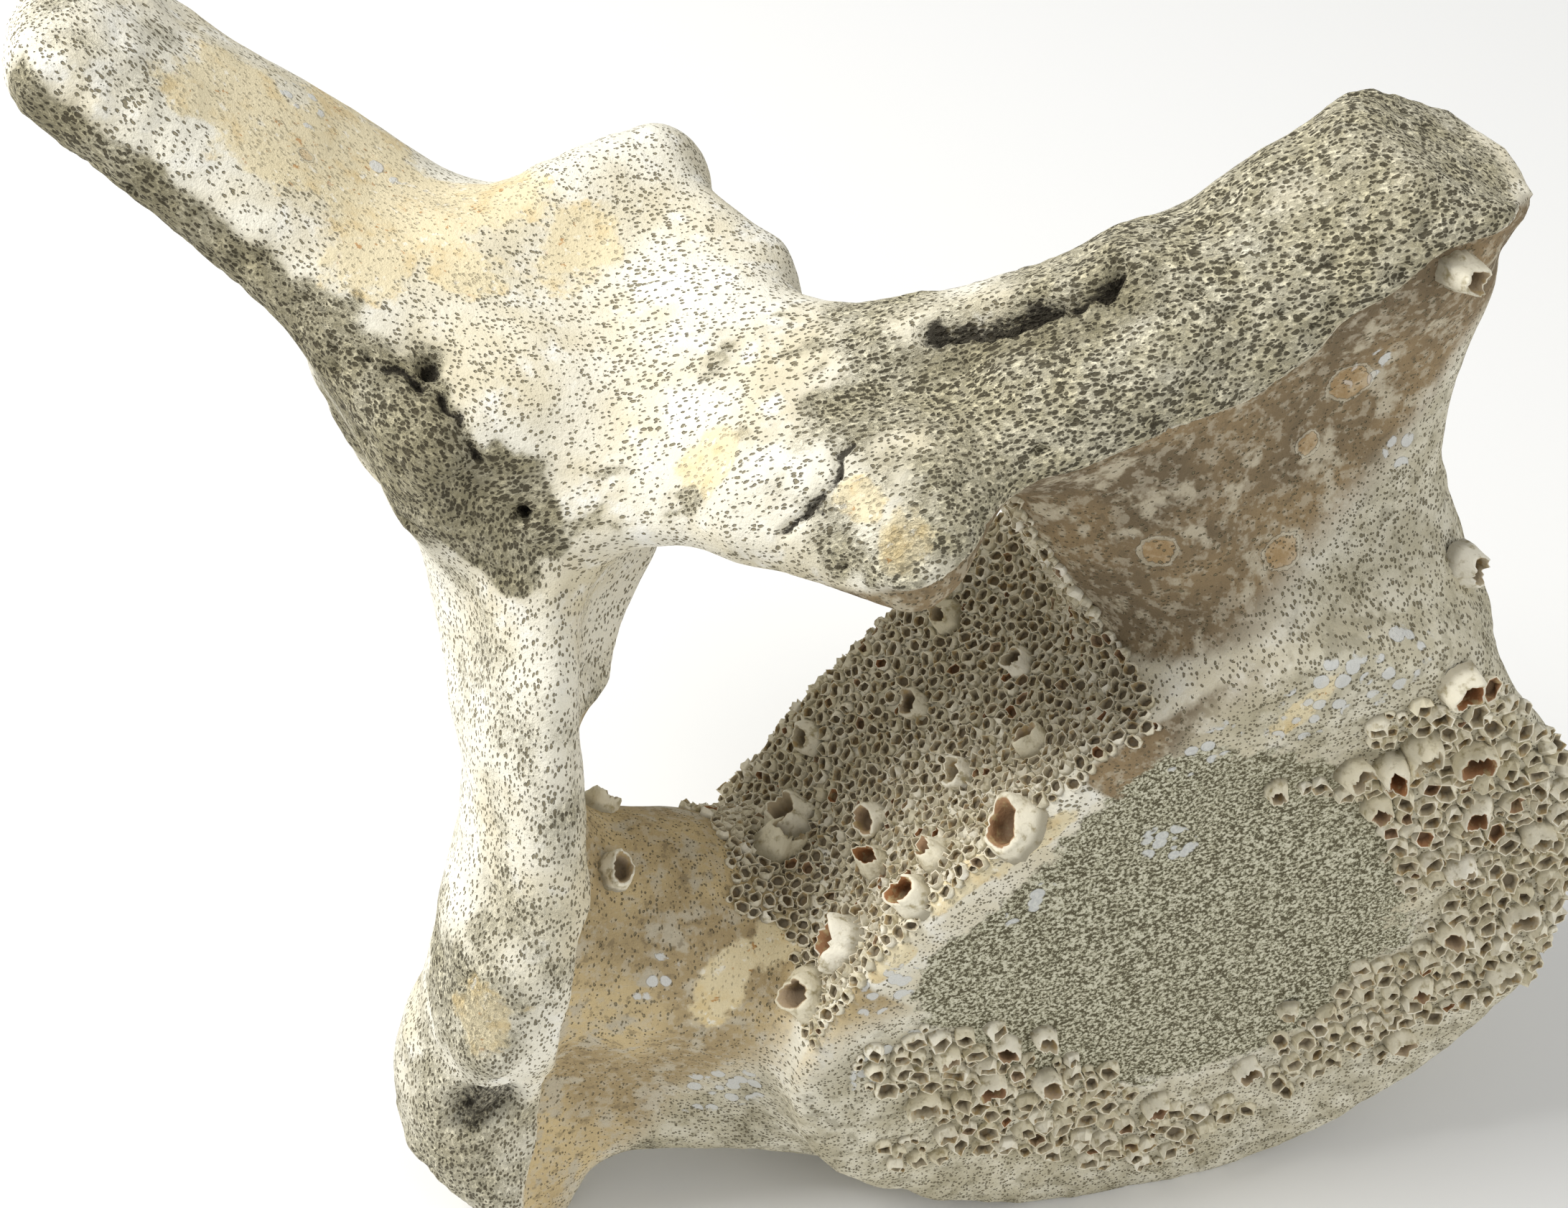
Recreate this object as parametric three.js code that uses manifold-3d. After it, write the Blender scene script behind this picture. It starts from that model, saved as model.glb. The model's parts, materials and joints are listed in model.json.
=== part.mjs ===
// Whale vertebra, life size: an anterior thoracic vertebra of a young baleen whale, found on a
// beach, lying on its right side. One smooth solid form is worked out from named limbs and then
// parted by thin plane cuts into the pieces an anatomist names. Millimetres, +Z up.
import * as THREE from 'three';
import Module from 'manifold-3d';

const wasm = await Module();
wasm.setup();

// ------------------------------------------------------------------ driving dimensions
// Anatomical frame of the bone: X towards the animal's left, Y towards its tail, Z towards its
// back, origin in the middle of the vertebral body.
const BODY_LENGTH = 88;
const BODY_HALF_WIDTH = 110;
const BODY_DORSAL_HEIGHT = 84;
const BODY_VENTRAL_HEIGHT = 104;
const BODY_SIDE_SHIFT = 5;
const BODY_WAIST = 0.10;
const BODY_RIM_ROUND = 10;
// Superellipse powers: a nearly flat dorsal side, a keeled ventral side, fuller on the left.
const DORSAL_POWER = 2.7;
const VENTRAL_POWER_LEFT = 1.95;
const VENTRAL_POWER_RIGHT = 1.7;

// The bone has rolled onto its right side by this angle, about its own long axis.
const ROLL = THREE.MathUtils.degToRad(48);
// Height of the supporting surface below the body's middle. What would sink lower is worn flat.
const FLOOR_DEPTH = 91.5;

const MESH_STEP = 9.4;
const CUT_GAP = 0.3;
const FAR = 600;

// A limb is a row of stations [x, y, z, half breadth, half thickness]; its broad side points
// along "broad". Written for the animal's left; sign -1 lays the same kind of limb to the right.
const STRUT_BROAD = [0, 1, 0.15];
// The limbs that join the strut, in this order: name, broad side, and how softly each one joins.
const JOINTS = [
  ['knob', [0, 1, 0], 10],
  ['postzygapophysis', [1, 0, 0], 20],
  ['laminaEdge', [1, 0, -0.3], 16],
  ['prezygapophysis', [1, 0, -0.4], 14],
  ['pedicle', [1, 0, -0.3], 16],
  ['web', [1, 0, -0.6], 22],
];
// How softly the two sides of the arch join each other, and the arch the body.
const ARCH_BLEND = 20;
const BODY_BLEND = 22;

const SPINE = {
  stations: [[0, 72, 196, 58, 20], [0, 95, 228, 50, 18], [0, 110, 264, 40, 17], [0, 125, 310, 35, 16]],
  broad: [0, 1, 0],
  blend: 26,
};

// Each side of the arch: the strut runs from the root of the spine to the tip of the transverse
// process, the pedicle and the web carry it on the body, and small processes grow from it.
const LEFT_SIDE = {
  sign: 1,
  strut: [[6, 64, 196, 42, 20], [40, 30, 176, 34, 15], [82, 6, 150, 28, 15],
    [125, 3, 126, 24, 17], [158, 6, 110, 24, 19], [200, 9, 97, 24, 21]],
  knob: [[104, 0, 142, 20, 13], [128, 0, 132, 20, 13]],
  postzygapophysis: [[8, 92, 200, 34, 20], [30, 101, 190, 28, 16], [50, 107, 179, 20, 12]],
  laminaEdge: [[40, 82, 181, 22, 13], [54, 62, 168, 20, 13]],
  prezygapophysis: [[46, 0, 172, 16, 12], [70, -24, 154, 20, 13]],
  pedicle: [[84, 2, 44, 32, 32], [98, 4, 82, 38, 28], [112, 4, 112, 40, 20]],
  web: [[102, -6, 24, 26, 24], [124, 0, 52, 24, 18], [164, 6, 80, 22, 16]],
  tipReach: 202,
  tipSlant: 0.3,
};
// The right side is more worn: a shorter tip and no processes left on the lamina.
const RIGHT_SIDE = {
  sign: -1,
  strut: [[6, 64, 196, 42, 20], [40, 28, 171, 34, 14], [80, 8, 142, 27, 13],
    [122, 2, 120, 24, 15], [152, 2, 106, 24, 18], [180, -1, 74, 24, 21]],
  knob: [[98, -4, 135, 20, 12], [120, -8, 124, 18, 12]],
  postzygapophysis: [[10, 84, 200, 32, 18], [28, 84, 190, 22, 12]],
  laminaEdge: [[0, 46, 180, 24, 14], [26, 40, 171, 24, 13], [44, 30, 158, 20, 11]],
  pedicle: [[78, 4, 44, 32, 34], [90, 6, 90, 36, 32], [106, 8, 114, 42, 20]],
  web: [[100, -6, 24, 26, 22], [122, 0, 54, 24, 18], [150, 4, 82, 22, 16]],
  tipReach: 180,
  tipSlant: 0,
};
// The larger barnacles on the canal floor, the rim of the body and the arch: [x, y, z, radius,
// height]. Each is set upright on the nearest skin.
const BARNACLES = [
  [-42, -28, 76, 6.4, 7.0], [-60, -30, 73, 6.6, 5.5], [19, -41, 81, 6.8, 6.0], [-6, -30, 80, 4.6, 5.5],
  [-14, -36, 79, 5.0, 6.0], [-26, -14, 77, 4.4, 6.0], [-57, 8, 78, 5.6, 6.5], [-46, 16, 77, 6.6, 6.0],
  [-22, -2, 76, 4.2, 5.0], [8, -12, 77, 3.8, 4.6], [30, -22, 78, 4.0, 5.0], [34, 4, 77, 3.8, 4.6],
  [2, 16, 76, 4.0, 5.0], [-30, 32, 77, 4.2, 5.0], [22, 30, 77, 4.0, 4.8],
  [108, -42, 25, 4.7, 5.5], [76, -44, 23, 3.6, 5.5], [83, -44, 15, 4.4, 8.0], [91, -44, 13, 4.6, 6.5],
  [70, -44, 5, 4.0, 4.5], [82, -44, -22, 4.4, 5.0], [95, -44, -4, 4.8, 6.0], [62, -44, 35, 2.8, 4.0],
  [66, -44, -34, 3.8, 4.8], [84, -44, -44, 4.2, 5.2], [48, -44, -52, 3.9, 4.8], [62, -44, -66, 4.2, 5.0],
  [28, -44, -64, 3.8, 4.6], [44, -44, -80, 4.2, 5.0], [10, -44, -78, 3.9, 4.6],
  [-40, -44, 26, 4.0, 4.5], [-49, -44, 39, 3.6, 4.0], [-54, -44, 20, 4.2, 4.8], [-33, -44, 20, 3.2, 4.0],
  [-66, -44, 32, 4.0, 4.8], [-46, -44, 6, 4.0, 4.8], [-40, -44, -32, 3.8, 4.5], [-18, -44, -45, 3.8, 4.5],
  [5, -44, -36, 2.8, 3.0], [-80, 12, 120, 4.2, 4.5], [-78, 3, 120, 4.2, 4.5],
  [180, -15, 92, 4.6, 7.0], [126, -22, 26, 4.8, 7.0],
];
const BARNACLE_SIDES = 8;
// How deep the foot of a barnacle reaches into the bone.
const BARNACLE_FOOT = 2.5;
// Share of the radius at the top, and width and depth of the open cup.
const BARNACLE_TOP = 0.7;
const BARNACLE_MOUTH = 0.5;
const BARNACLE_CUP = 0.5;

// The two tips of the transverse processes are worn off along planes through this level.
const TIP_LEVEL = 77;
const TIP_ROUND = 10;
// The front of each side is scooped out between the body, the web and the strut.
const SCOOP = { centre: [128, -52, 78], radii: [46, 34, 48], blend: 14 };

// ------------------------------------------------------------------ distance functions
// Smooth union and smooth intersection of two distances, rounding the joint over a width k.
function smoothMin(a, b, k) {
  const h = Math.max(k - Math.abs(a - b), 0) / k;
  return Math.min(a, b) - h * h * k / 4;
}

function smoothMax(a, b, k) {
  return -smoothMin(-a, -b, k);
}

// Catmull-Rom interpolation of whole station rows, "steps" pieces between neighbouring rows.
function catmullRom(rows, steps) {
  const row = (i) => {
    if (i < 0) return rows[0].map((v, j) => 2 * v - rows[1][j]);
    const last = rows.length - 1;
    if (i > last) return rows[last].map((v, j) => 2 * v - rows[last - 1][j]);
    return rows[i];
  };
  const out = [];
  for (let i = 0; i < rows.length - 1; i++) {
    const [a, b, c, d] = [row(i - 1), row(i), row(i + 1), row(i + 2)];
    for (let s = 0; s < steps; s++) {
      const t = s / steps;
      out.push(b.map((v, j) => 0.5 * (2 * v + (c[j] - a[j]) * t
        + (2 * a[j] - 5 * v + 4 * c[j] - d[j]) * t * t
        + (3 * v - a[j] - 3 * c[j] + d[j]) * t * t * t)));
    }
  }
  out.push(rows[rows.length - 1]);
  return out;
}

// Distance to a chain of elliptical capsules through the stations: for each piece the point is
// measured in the piece's own frame, scaled by the half breadth and half thickness there.
function limb(stations, broad, sign = 1) {
  const rows = catmullRom(stations.map(([x, ...rest]) => [sign * x, ...rest]), 3);
  const pieces = rows.slice(1).map((end, i) => {
    const start = rows[i];
    const from = new THREE.Vector3(...start);
    const axis = new THREE.Vector3(...end).sub(from);
    const length = axis.length();
    axis.divideScalar(length);
    const wide = new THREE.Vector3(...broad);
    wide.addScaledVector(axis, -wide.dot(axis)).normalize();
    const thin = new THREE.Vector3().crossVectors(axis, wide);
    return { from, axis, wide, thin, length, breadth: [start[3], end[3]], depth: [start[4], end[4]] };
  });
  const offset = new THREE.Vector3();
  return (point) => {
    let nearest = Infinity;
    for (const piece of pieces) {
      offset.subVectors(point, piece.from);
      const along = offset.dot(piece.axis);
      const t = THREE.MathUtils.clamp(along / piece.length, 0, 1);
      const breadth = THREE.MathUtils.lerp(...piece.breadth, t);
      const depth = THREE.MathUtils.lerp(...piece.depth, t);
      const end = Math.min(breadth, depth);
      const w = offset.dot(piece.wide);
      const d = offset.dot(piece.thin);
      const a = along - t * piece.length;
      const scaled = Math.hypot(w / breadth, d / depth, a / end);
      const slope = Math.hypot(w / breadth ** 2, d / depth ** 2, a / end ** 2) + 1e-9;
      nearest = Math.min(nearest, scaled * (scaled - 1) / slope);
    }
    return nearest;
  };
}

function ellipsoid(centre, radii) {
  return (point) => {
    const x = (point.x - centre[0]) / radii[0];
    const y = (point.y - centre[1]) / radii[1];
    const z = (point.z - centre[2]) / radii[2];
    const scaled = Math.hypot(x, y, z);
    const slope = Math.hypot(x / radii[0], y / radii[1], z / radii[2]) + 1e-9;
    return scaled * (scaled - 1) / slope;
  };
}

// The vertebral body: a superelliptic drum, waisted in the middle, with two flat ends.
function bodyDistance(point) {
  const x = point.x - BODY_SIDE_SHIFT;
  const along = THREE.MathUtils.clamp(point.y / (BODY_LENGTH / 2), -1, 1);
  const waist = 1 - BODY_WAIST * (1 - along * along);
  const dorsal = point.z > 0;
  const ventralPower = x > 0 ? VENTRAL_POWER_LEFT : VENTRAL_POWER_RIGHT;
  const power = dorsal ? DORSAL_POWER : ventralPower;
  const height = dorsal ? BODY_DORSAL_HEIGHT : BODY_VENTRAL_HEIGHT;
  const scaled = ((Math.abs(x) / (BODY_HALF_WIDTH * waist)) ** power
    + (Math.abs(point.z) / (height * waist)) ** power) ** (1 / power) + 1e-9;
  const radial = Math.hypot(x, point.z) * (1 - 1 / scaled);
  return smoothMax(radial, Math.abs(point.y) - BODY_LENGTH / 2, BODY_RIM_ROUND);
}

// One side of the neural arch with its transverse process.
function archSide(side) {
  const strut = limb(side.strut, STRUT_BROAD, side.sign);
  const limbs = JOINTS.filter(([name]) => side[name])
    .map(([name, broad, blend]) => ({ distance: limb(side[name], broad, side.sign), blend }));
  const [cx, cy, cz] = SCOOP.centre;
  const scoop = ellipsoid([side.sign * cx, cy, cz], SCOOP.radii);
  return (point) => {
    const arch = limbs.reduce((f, { distance, blend }) => smoothMin(f, distance(point), blend), strut(point));
    const scooped = smoothMax(arch, -scoop(point), SCOOP.blend);
    const tip = side.sign * point.x + side.tipSlant * (point.z - TIP_LEVEL) - side.tipReach;
    return smoothMax(scooped, tip, TIP_ROUND);
  };
}

const leftArch = archSide(LEFT_SIDE);
const rightArch = archSide(RIGHT_SIDE);
const spineLimb = limb(SPINE.stations, SPINE.broad);

function boneDistance(point) {
  const arch = smoothMin(leftArch(point), rightArch(point), ARCH_BLEND);
  const withBody = smoothMin(bodyDistance(point), arch, BODY_BLEND);
  return smoothMin(withBody, spineLimb(point), SPINE.blend);
}

// The nearest place on the skin and the direction out of it, by short steps down the distance.
const SETTLE_STEPS = 8;
const SETTLE_PACE = 0.8;
const PROBE = 0.5;

function settle(place) {
  const point = new THREE.Vector3(...place);
  const normal = new THREE.Vector3();
  const probe = new THREE.Vector3();
  const slope = (axis) => {
    probe.copy(point)[axis] += PROBE;
    const ahead = boneDistance(probe);
    probe[axis] -= 2 * PROBE;
    return ahead - boneDistance(probe);
  };
  for (let step = 0; step < SETTLE_STEPS; step++) {
    normal.set(slope('x'), slope('y'), slope('z')).normalize();
    point.addScaledVector(normal, -SETTLE_PACE * boneDistance(point));
  }
  return { point, normal };
}

// A barnacle is a blunt cone with an open cup in its top, standing on the skin.
function barnacle([x, y, z, radius, height]) {
  const { point, normal } = settle([x, y, z]);
  const top = BARNACLE_TOP * radius;
  const cone = wasm.Manifold.cylinder(height + BARNACLE_FOOT, radius, top, BARNACLE_SIDES);
  const cup = wasm.Manifold.cylinder(height, BARNACLE_CUP * BARNACLE_MOUTH * radius,
    BARNACLE_MOUTH * radius * (2 - BARNACLE_CUP), BARNACLE_SIDES);
  const open = cone.subtract(cup.translate([0, 0, BARNACLE_FOOT + BARNACLE_CUP * height]));
  const turn = new THREE.Quaternion().setFromUnitVectors(new THREE.Vector3(0, 0, 1), normal);
  const foot = point.addScaledVector(normal, -BARNACLE_FOOT);
  const placed = new THREE.Matrix4().compose(foot, turn, new THREE.Vector3(1, 1, 1));
  return open.transform(placed.elements);
}

// ------------------------------------------------------------------ surface of the bone
// A grid face whose corners alternate inside and outside would pinch the surface into a seam of
// four sheets. Its least certain corner changes sides until no such face is left.
function untangle(values, strides) {
  const turns = [[0, 1], [1, 2], [0, 2]].map(([u, v]) => [0, strides[u], strides[u] + strides[v], strides[v]]);
  let tangled = true;
  while (tangled) {
    tangled = false;
    for (let base = 0; base < values.length - strides[0] - strides[1]; base++) {
      for (const turn of turns) {
        const [a, b, c, d] = turn.map((offset) => values[base + offset] < 0);
        if (a !== c || b !== d || a === b) continue;
        const weakest = turn.reduce((best, offset) => (
          Math.abs(values[base + offset]) < Math.abs(values[base + best]) ? offset : best));
        values[base + weakest] *= -1;
        tangled = true;
      }
    }
  }
}

// Surface nets: one vertex in every grid cell that the surface crosses, at the mean of its edge
// crossings, and one quad across every grid edge whose ends lie on different sides.
function surfaceNet(distance, box, step) {
  const size = box.getSize(new THREE.Vector3()).divideScalar(step).ceil().addScalar(1);
  const [nx, ny, nz] = size.toArray();
  const at = (i, j, k) => (i * ny + j) * nz + k;
  const values = new Float64Array(nx * ny * nz);
  const point = new THREE.Vector3();
  for (let i = 0; i < nx; i++) {
    for (let j = 0; j < ny; j++) {
      for (let k = 0; k < nz; k++) {
        point.set(i, j, k).multiplyScalar(step).add(box.min);
        values[at(i, j, k)] = distance(point);
      }
    }
  }
  untangle(values, [ny * nz, nz, 1]);
  const corners = [0, 1, 2, 3, 4, 5, 6, 7].map((c) => [c & 1, (c >> 1) & 1, c >> 2]);
  const edges = [];
  for (let a = 0; a < 8; a++) {
    for (const bit of [1, 2, 4]) {
      if (!(a & bit)) edges.push([corners[a], corners[a | bit]]);
    }
  }
  const cellVertex = new Int32Array(nx * ny * nz).fill(-1);
  const positions = [];
  for (let i = 0; i < nx - 1; i++) {
    for (let j = 0; j < ny - 1; j++) {
      for (let k = 0; k < nz - 1; k++) {
        const sum = [0, 0, 0];
        let count = 0;
        for (const [p, q] of edges) {
          const a = values[at(i + p[0], j + p[1], k + p[2])];
          const b = values[at(i + q[0], j + q[1], k + q[2])];
          if (a < 0 === b < 0) continue;
          const t = a / (a - b);
          for (let n = 0; n < 3; n++) sum[n] += p[n] + (q[n] - p[n]) * t;
          count++;
        }
        if (!count) continue;
        cellVertex[at(i, j, k)] = positions.length / 3;
        positions.push(
          box.min.x + step * (i + sum[0] / count),
          box.min.y + step * (j + sum[1] / count),
          box.min.z + step * (k + sum[2] / count),
        );
      }
    }
  }
  const triangles = [];
  const axes = [[[1, 0, 0], [0, 1, 0], [0, 0, 1]], [[0, 1, 0], [0, 0, 1], [1, 0, 0]],
    [[0, 0, 1], [1, 0, 0], [0, 1, 0]]];
  for (let i = 1; i < nx - 1; i++) {
    for (let j = 1; j < ny - 1; j++) {
      for (let k = 1; k < nz - 1; k++) {
        const here = values[at(i, j, k)] < 0;
        for (const [e, u, v] of axes) {
          const there = values[at(i + e[0], j + e[1], k + e[2])] < 0;
          if (here === there) continue;
          const quad = [[0, 0], [1, 0], [1, 1], [0, 1]].map(([a, b]) => cellVertex[
            at(i - a * u[0] - b * v[0], j - a * u[1] - b * v[1], k - a * u[2] - b * v[2])]);
          if (there) quad.reverse();
          triangles.push(quad[0], quad[1], quad[2], quad[0], quad[2], quad[3]);
        }
      }
    }
  }
  return new wasm.Manifold(new wasm.Mesh({
    numProp: 3,
    vertProperties: new Float32Array(positions),
    triVerts: new Uint32Array(triangles),
  }));
}

// ------------------------------------------------------------------ cutting tools
// A closed prism from a polygon of [x, z] corners, drawn through the whole bone along Y.
function prism(corners) {
  const points = corners.map(([x, z]) => new THREE.Vector2(x, z));
  if (THREE.ShapeUtils.isClockWise(points)) points.reverse();
  const shape = new THREE.Shape(points);
  const geometry = new THREE.ExtrudeGeometry(shape, { depth: 2 * FAR, bevelEnabled: false });
  geometry.translate(0, 0, -FAR);
  geometry.rotateX(Math.PI / 2);
  return solidOf(geometry);
}

// A half space {x, y, z : normal . p < distance} as a large block.
function halfSpace(normal, distance) {
  const direction = new THREE.Vector3(...normal).normalize();
  const block = new THREE.BoxGeometry(2 * FAR, 2 * FAR, 2 * FAR);
  block.translate(0, 0, -FAR);
  block.applyQuaternion(new THREE.Quaternion().setFromUnitVectors(new THREE.Vector3(0, 0, 1), direction));
  block.translate(...direction.multiplyScalar(distance).toArray());
  return solidOf(block);
}

// A three.js geometry as a solid: corners that lie at one place are made one vertex.
function solidOf(geometry) {
  const position = geometry.getAttribute('position');
  const index = geometry.index ? geometry.index.array : [...Array(position.count).keys()];
  const seen = new Map();
  const vertices = [];
  const triangles = [];
  for (const i of index) {
    const corner = [position.getX(i), position.getY(i), position.getZ(i)];
    const key = corner.map((v) => v.toFixed(4)).join();
    if (!seen.has(key)) {
      seen.set(key, seen.size);
      vertices.push(...corner);
    }
    triangles.push(seen.get(key));
  }
  return new wasm.Manifold(new wasm.Mesh({
    numProp: 3,
    vertProperties: new Float32Array(vertices),
    triVerts: new Uint32Array(triangles),
  }));
}

function geometryOf(solid) {
  const mesh = solid.getMesh();
  const geometry = new THREE.BufferGeometry();
  geometry.setAttribute('position', new THREE.BufferAttribute(new Float32Array(mesh.vertProperties), 3));
  geometry.setIndex(new THREE.BufferAttribute(new Uint32Array(mesh.triVerts), 1));
  geometry.computeVertexNormals();
  return geometry;
}

// ------------------------------------------------------------------ the bone and its parting
const GRID = new THREE.Box3(new THREE.Vector3(-212, -66, -118), new THREE.Vector3(222, 184, 352));
const up = [Math.sin(ROLL), 0, Math.cos(ROLL)];
const aboveFloor = halfSpace(up.map((v) => -v), FLOOR_DEPTH);
const bareBone = surfaceNet(boneDistance, GRID, MESH_STEP);
const bone = BARNACLES.reduce((sum, row) => sum.add(barnacle(row)), bareBone).intersect(aboveFloor);

const SPINE_ROOT_LEVEL = 207;
const POSTZYGAPOPHYSIS_FROM = 84;
const TIP_FROM = 116;
// The body ends at two planes that lean like a roof over it, one below each pedicle.
const BODY_ROOF = { ridge: 152, slope: 1.02 };
// A pedicle is what stands between the body and the underside of the strut, beside the canal.
const PEDICLE = { medial: 52, medialTop: 148, lateral: 130, lateralTop: 104 };

function bodyRoof(gap) {
  const top = BODY_ROOF.ridge + gap;
  const eaves = top - BODY_ROOF.slope * FAR;
  return prism([[0, top], [-FAR, eaves], [-FAR, eaves - FAR], [FAR, eaves - FAR], [FAR, eaves]]);
}

function pedicleBlock(sign, gap) {
  const medial = sign * (PEDICLE.medial - gap);
  const lateral = sign * PEDICLE.lateral;
  return prism([[medial, -FAR], [medial, PEDICLE.medialTop + gap],
    [lateral, PEDICLE.lateralTop + gap], [lateral, -FAR]]);
}

// Splits a solid by a plane into [below, above], with the thin gap between them.
function split(solid, normal, distance) {
  const opposite = normal.map((v) => -v);
  return [
    solid.intersect(halfSpace(normal, distance)),
    solid.intersect(halfSpace(opposite, -distance - CUT_GAP)),
  ];
}

const pieces = {};
pieces.vertebral_body = bone.intersect(bodyRoof(0));
const wholeArch = bone.subtract(bodyRoof(CUT_GAP));
const [archOnly, spine] = split(wholeArch, [0, 0, 1], SPINE_ROOT_LEVEL);
pieces.neural_spine = spine;
const [rightHalf, leftHalf] = split(archOnly, [1, 0, 0], 0);
for (const [name, half, sign] of [['left', leftHalf, 1], ['right', rightHalf, -1]]) {
  const [medial, tip] = split(half, [sign, 0, 0], TIP_FROM);
  pieces[`transverse_process_${name}`] = tip;
  pieces[`pedicle_${name}`] = medial.intersect(pedicleBlock(sign, 0));
  const lamina = medial.subtract(pedicleBlock(sign, CUT_GAP));
  const [front, behind] = split(lamina, [0, 1, 0], POSTZYGAPOPHYSIS_FROM);
  pieces[`lamina_${name}`] = front;
  pieces[`postzygapophysis_${name}`] = behind;
}

// ------------------------------------------------------------------ materials and scene graph
const BONE_COLOURS = {
  vertebral_body: 0xa9a595,
  neural_spine: 0xe6dcc0,
  lamina_left: 0xece4cd,
  lamina_right: 0xd9d1b9,
  transverse_process_left: 0xb8b08a,
  transverse_process_right: 0xe2dac2,
  postzygapophysis_left: 0xf0ead8,
  postzygapophysis_right: 0xeee6d0,
  pedicle_left: 0xc3ae84,
  pedicle_right: 0xcdb98f,
};

const bonePose = new THREE.Group();
for (const [name, solid] of Object.entries(pieces)) {
  const material = new THREE.MeshStandardMaterial({
    color: BONE_COLOURS[name],
    roughness: 0.85,
    metalness: 0,
  });
  const mesh = new THREE.Mesh(geometryOf(solid), material);
  mesh.name = name;
  bonePose.add(mesh);
}
bonePose.rotation.y = -ROLL;

// The model's origin is the middle of its footprint, at the level of the supporting surface.
const vertebra = new THREE.Group();
vertebra.add(bonePose);
vertebra.updateMatrixWorld(true);
const bounds = new THREE.Box3().setFromObject(vertebra, true);
const centre = bounds.getCenter(new THREE.Vector3());
bonePose.position.set(-centre.x, -centre.y, -bounds.min.z);

export default vertebra;
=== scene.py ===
# %% [markdown]
# # A whale vertebra from the beach
# The real object is one bone from the chest of a young baleen whale. It lies on its right side, so
# the spine points to the left and the round front of the vertebral body faces the viewer. Sea and
# sun have bleached it, sand has worn it, and small barnacles grow wherever it lay in the water.
#
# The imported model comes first, as a fixed frame. It gives the size and the place of everything.

# %% Load the frame
import json

import bpy
import numpy as np
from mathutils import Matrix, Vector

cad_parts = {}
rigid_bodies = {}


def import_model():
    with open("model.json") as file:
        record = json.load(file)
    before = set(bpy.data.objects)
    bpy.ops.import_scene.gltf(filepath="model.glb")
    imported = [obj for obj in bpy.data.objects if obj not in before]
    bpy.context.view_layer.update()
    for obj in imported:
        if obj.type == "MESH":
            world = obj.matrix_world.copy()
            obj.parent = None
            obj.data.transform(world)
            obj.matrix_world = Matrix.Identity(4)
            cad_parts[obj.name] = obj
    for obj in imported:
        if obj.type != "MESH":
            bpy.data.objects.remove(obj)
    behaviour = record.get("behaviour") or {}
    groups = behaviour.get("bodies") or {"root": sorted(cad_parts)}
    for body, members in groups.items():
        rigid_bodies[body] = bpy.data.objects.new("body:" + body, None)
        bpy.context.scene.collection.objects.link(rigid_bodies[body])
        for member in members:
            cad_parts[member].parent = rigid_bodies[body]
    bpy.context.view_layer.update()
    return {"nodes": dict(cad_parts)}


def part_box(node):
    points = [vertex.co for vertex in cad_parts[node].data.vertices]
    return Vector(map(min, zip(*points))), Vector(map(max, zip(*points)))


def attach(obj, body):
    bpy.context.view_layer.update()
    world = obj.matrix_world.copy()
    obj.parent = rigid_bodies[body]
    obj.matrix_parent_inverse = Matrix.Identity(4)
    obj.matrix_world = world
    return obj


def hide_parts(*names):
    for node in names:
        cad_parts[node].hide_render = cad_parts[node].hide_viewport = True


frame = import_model()
MM = 0.001

# %% [markdown]
# ## The shape of the bone
# A bone has no flat plates and no seams: its limbs run into each other like branches of a tree. It
# could be sculpted by hand or joined from curves. Here it is a distance function, a formula that
# tells for any point how far it is from the skin, because such functions blend smoothly, and one
# skin can be drawn around all of them at once.
#
# The formulas use the anatomical frame in millimetres: X to the animal's left, Y to its tail, Z to
# its back, with the origin in the middle of the vertebral body.

# %% Smooth union
def smooth_min(a, b, width):
    """The smaller of a and b. Where they differ by less than width, h = 1 - |a - b| / width, and
    h² · width / 4 is taken off, which rounds the joint."""
    h = np.maximum(width - np.abs(a - b), 0) / width
    return np.minimum(a, b) - h * h * width / 4


def smooth_max(a, b, width):
    """The larger of a and b, with the joint rounded in the same way."""
    return -smooth_min(-a, -b, width)


def ease(value, start, end):
    """Rises from 0 at start to 1 at end along t²(3 - 2t)."""
    t = np.clip((value - start) / (end - start), 0, 1)
    return t * t * (3 - 2 * t)


print("half way:", ease(0.5, 0, 1))


# %% Limbs with an oval section
def through_stations(stations, steps=3):
    """Catmull-Rom curve through whole rows of numbers, steps pieces between neighbouring rows."""
    rows = np.array(stations, float)
    rows = np.vstack([2 * rows[0] - rows[1], rows, 2 * rows[-1] - rows[-2]])
    t = (np.arange(steps) / steps)[:, None]
    out = []
    for a, b, c, d in zip(rows, rows[1:], rows[2:], rows[3:]):
        out.append(0.5 * (2 * b + (c - a) * t + (2 * a - 5 * b + 4 * c - d) * t**2
                          + (3 * b - a - 3 * c + d) * t**3))
    out.append(rows[-2:-1])
    return np.vstack(out)


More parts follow.
